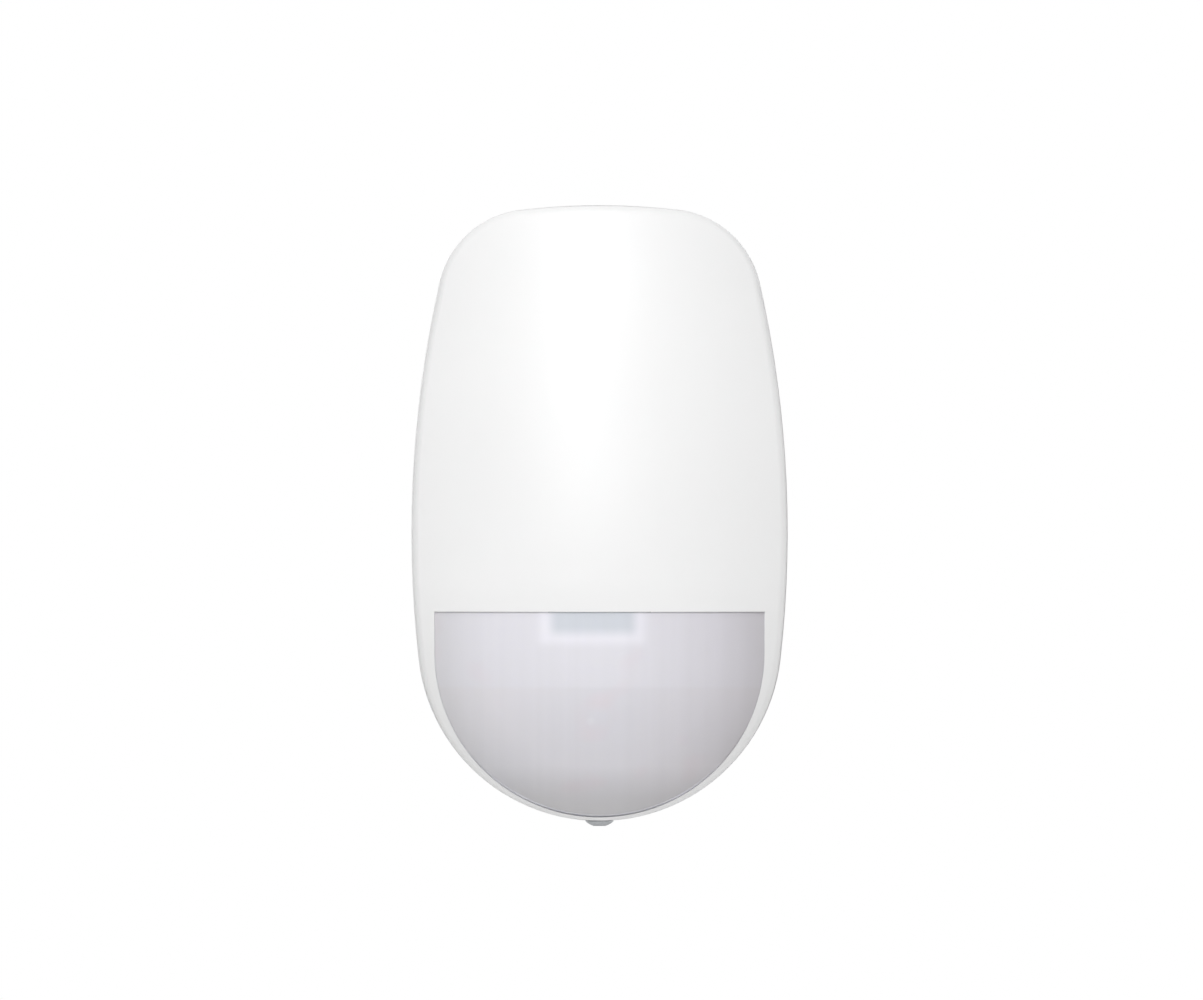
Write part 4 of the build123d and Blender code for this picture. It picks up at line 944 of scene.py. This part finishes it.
class SENSOR_OT_board(bpy.types.Operator):
    """Finish the circuit board and what stands on it"""
    bl_idname = "sensor.board"
    bl_label = "Board"

    def execute(self, context):
        settings = context.scene.sensor_board
        nickel, black, chip, solder = nickel_steel(), black_pbt(), chip_epoxy(), tin_solder()
        dress("circuit_board", green_laminate())
        for name in ("pyro_header", "pyro_can", "radio_shield", "enrol_switch_case", "antenna"):
            dress(name, nickel)
        for name in ("pyro_spacer", "tamper_switch_case", "enrol_button"):
            dress(name, black)
        dress("pyro_window", coated_silicon())
        dress("tamper_plunger", natural_acetal())
        dress("microcontroller", chip)
        dress("supply_capacitor", drawn_aluminium())
        taken = larger_parts()
        small_chips(chip, solder, taken)
        tan = tan_ceramic()
        lift = Vector((0, 0.25 * MM, 0))
        body = (1.1 * MM, 0.5 * MM, 0.8 * MM)
        cap, cap_gap = (0.28 * MM, 0.54 * MM, 0.84 * MM), 1.36 * MM
        for label, places in zip(("flat", "upright"), cluster_places(settings, taken)):
            turned = label == "upright"
            places = [place + lift for place in places]
            blocks(f"resistors_{label}", places[0::2], body, 0.0, chip, turned)
            blocks(f"ceramics_{label}", places[1::2], body, 0.0, tan, turned)
            blocks(f"end_caps_{label}", places, cap, cap_gap, solder, turned)
        mask = green_laminate("Glass-epoxy, mask over copper", "#2A7444", "#2E7A49")
        via_room, via_r, pad_r, pad_h, joint_h = 0.6 * MM, 0.36 * MM, 0.8 * MM, 0.1 * MM, 0.5 * MM
        vias = [end for end in board_tracks(settings, mask) if free_spot(end.x, end.z, via_room, taken)]
        discs("track_vias", vias, via_r, pad_h, "front", solder)
        pad_pitch, pads_z = 2.4 * MM, -39.5 * MM
        pads = [Vector((column * pad_pitch, BOARD_HIGH.y, pads_z)) for column in range(-3, 4)]
        discs("test_pads", pads, pad_r, pad_h, "front", solder)
        chip_leads(settings, solder)
        domes("solder_joints", joint_places(), settings.bead, joint_h, solder)
        return {"FINISHED"}


class SENSOR_OT_battery(bpy.types.Operator):
    """Finish the cell, its holder and its contacts"""
    bl_idname = "sensor.battery"
    bl_label = "Battery"

    def execute(self, context):
        dress("battery_cell", shrink_jacket())
        dress("battery_holder", black_pbt())
        nickel = nickel_steel()
        dress("battery_contact_positive", nickel)
        dress("battery_contact_negative", nickel)
        return {"FINISHED"}


class SENSOR_OT_fasteners(bpy.types.Operator):
    """Finish the screws, the retaining ring and the insert"""
    bl_idname = "sensor.fasteners"
    bl_label = "Fasteners"

    def execute(self, context):
        zinc = zinc_steel()
        threaded_screw(context.scene.sensor_fasteners, zinc)
        board_screws(zinc)
        dress("screw_retaining_ring", nickel_steel())
        dress("lug_insert", turned_brass())
        return {"FINISHED"}


def soft_light(name, place, aim, size, watts):
    """A white rectangular light at a place, turned towards its aim."""
    data = bpy.data.lights.new(name, "AREA")
    data.shape = "RECTANGLE"
    data.size, data.size_y = size
    data.energy = watts
    lamp = bpy.data.objects.new(name, data)
    lamp.location = place
    lamp.rotation_mode = "QUATERNION"
    lamp.rotation_quaternion = (Vector(aim) - Vector(place)).to_track_quat("-Z", "Y")
    bpy.context.scene.collection.objects.link(lamp)


def studio_world(settings):
    """A white sweep behind the object and a bright ceiling, in a dimmer room."""
    world = bpy.data.worlds.new("studio")
    world.use_nodes = True
    tree = world.node_tree
    aim = add(tree, "ShaderNodeTexCoord").outputs["Generated"]
    toward = add(tree, "ShaderNodeSeparateXYZ", {"Vector": aim})
    sweep = add(tree, "ShaderNodeMapRange", {
        "interpolation_type": "SMOOTHSTEP", "Value": toward.outputs["Y"], "From Min": 0.3, "From Max": 0.85,
        "To Min": settings.room_light, "To Max": 1.0})
    ceiling = add(tree, "ShaderNodeMapRange", {
        "interpolation_type": "SMOOTHSTEP", "Value": toward.outputs["Z"], "From Min": 0.3, "From Max": 0.95,
        "To Min": 0.0, "To Max": settings.ceiling_light})
    level = add(tree, "ShaderNodeMath", {"operation": "MAXIMUM", 0: sweep, 1: ceiling})
    wire(tree, tree.nodes["Background"], {"Color": linear("#FFFFFF"), "Strength": level})
    return world


def studio_floor(height, reach):
    """A square floor in pale matt paint."""
    paint = mottled("Studio floor, matt paint", "#E2E2E2", roughness=0.8, ior=1.5,
                    size_mm=6.0, tones=("#E1E1E1", "#E3E3E3"))
    mesh = bpy.data.meshes.new("studio_floor")
    corners = [(x * reach, y * reach, height) for x, y in ((-1, -1), (1, -1), (1, 1), (-1, 1))]
    mesh.from_pydata(corners, [], [(0, 1, 2, 3)])
    mesh.materials.append(paint)
    surface = bpy.data.objects.new("studio_floor", mesh)
    bpy.context.scene.collection.objects.link(surface)


class SENSOR_OT_stage(bpy.types.Operator):
    """Set up the pale floor, the soft lights and the camera"""
    bl_idname = "sensor.stage"
    bl_label = "Stage"

    def execute(self, context):
        settings = context.scene.sensor_stage
        scene = context.scene
        scene.view_settings.view_transform = "Standard"
        scene.world = studio_world(settings)
        studio_floor(height=-0.6, reach=4.0)
        # the middle of the object, a little in front of the wall
        middle, under_middle = (0, -0.03, 0), (0, -0.03, -0.02)
        side_size = (0.3, 0.9)
        soft_light("key", (-0.14, -1.24, 0.86), middle, (0.5, 1.5), settings.key_watts)
        soft_light("bounce", (0.1, -0.45, -0.52), under_middle, (1.0, 0.6), settings.bounce_watts)
        soft_light("side_left", (-1.0, 0.55, -0.3), middle, side_size, settings.side_watts)
        soft_light("side_right", (1.0, 0.55, -0.3), middle, side_size, 2 * settings.side_watts)
        film_width = 36.0
        camera_data = bpy.data.cameras.new("front_camera")
        camera_data.sensor_width = film_width
        camera_data.lens = film_width * settings.distance / settings.view_width
        camera_data.clip_start = 0.1
        camera_data.clip_end = 20
        camera = bpy.data.objects.new("front_camera", camera_data)
        camera.location = (settings.look_x, -settings.distance, settings.look_z)
        camera.rotation_euler = (math.radians(90), 0, 0)
        scene.collection.objects.link(camera)
        scene.camera = camera
        return {"FINISHED"}


class SENSOR_PT_panel(bpy.types.Panel):
    """Lists the steps that dress the motion sensor"""
    bl_idname = "SENSOR_PT_panel"
    bl_label = "Motion Sensor"
    bl_space_type = "VIEW_3D"
    bl_region_type = "UI"
    bl_category = "Motion Sensor"

    def draw(self, context):
        for group in GROUPS:
            settings = getattr(context.scene, group)
            box = self.layout.box()
            for key in settings.__annotations__:
                box.prop(settings, key)
        for operator in OPERATORS:
            self.layout.operator(operator.bl_idname)


GROUPS = {
    "sensor_housing": SensorHousingSettings,
    "sensor_lens": SensorLensSettings,
    "sensor_board": SensorBoardSettings,
    "sensor_fasteners": SensorFastenerSettings,
    "sensor_stage": SensorStageSettings,
}
OPERATORS = [SENSOR_OT_housing, SENSOR_OT_lens, SENSOR_OT_guide, SENSOR_OT_board, SENSOR_OT_battery,
             SENSOR_OT_fasteners, SENSOR_OT_stage]


def register():
    for name, group in GROUPS.items():
        bpy.utils.register_class(group)
        setattr(bpy.types.Scene, name, PointerProperty(type=group))
    for operator in OPERATORS:
        bpy.utils.register_class(operator)
    bpy.utils.register_class(SENSOR_PT_panel)


def unregister():
    bpy.utils.unregister_class(SENSOR_PT_panel)
    for operator in reversed(OPERATORS):
        bpy.utils.unregister_class(operator)
    for name, group in GROUPS.items():
        delattr(bpy.types.Scene, name)
        bpy.utils.unregister_class(group)


def main():
    register()
    bpy.ops.sensor.housing()
    bpy.ops.sensor.lens()
    bpy.ops.sensor.guide()
    bpy.ops.sensor.board()
    bpy.ops.sensor.battery()
    bpy.ops.sensor.fasteners()
    bpy.ops.sensor.stage()


if __name__ == "__main__":
    main()
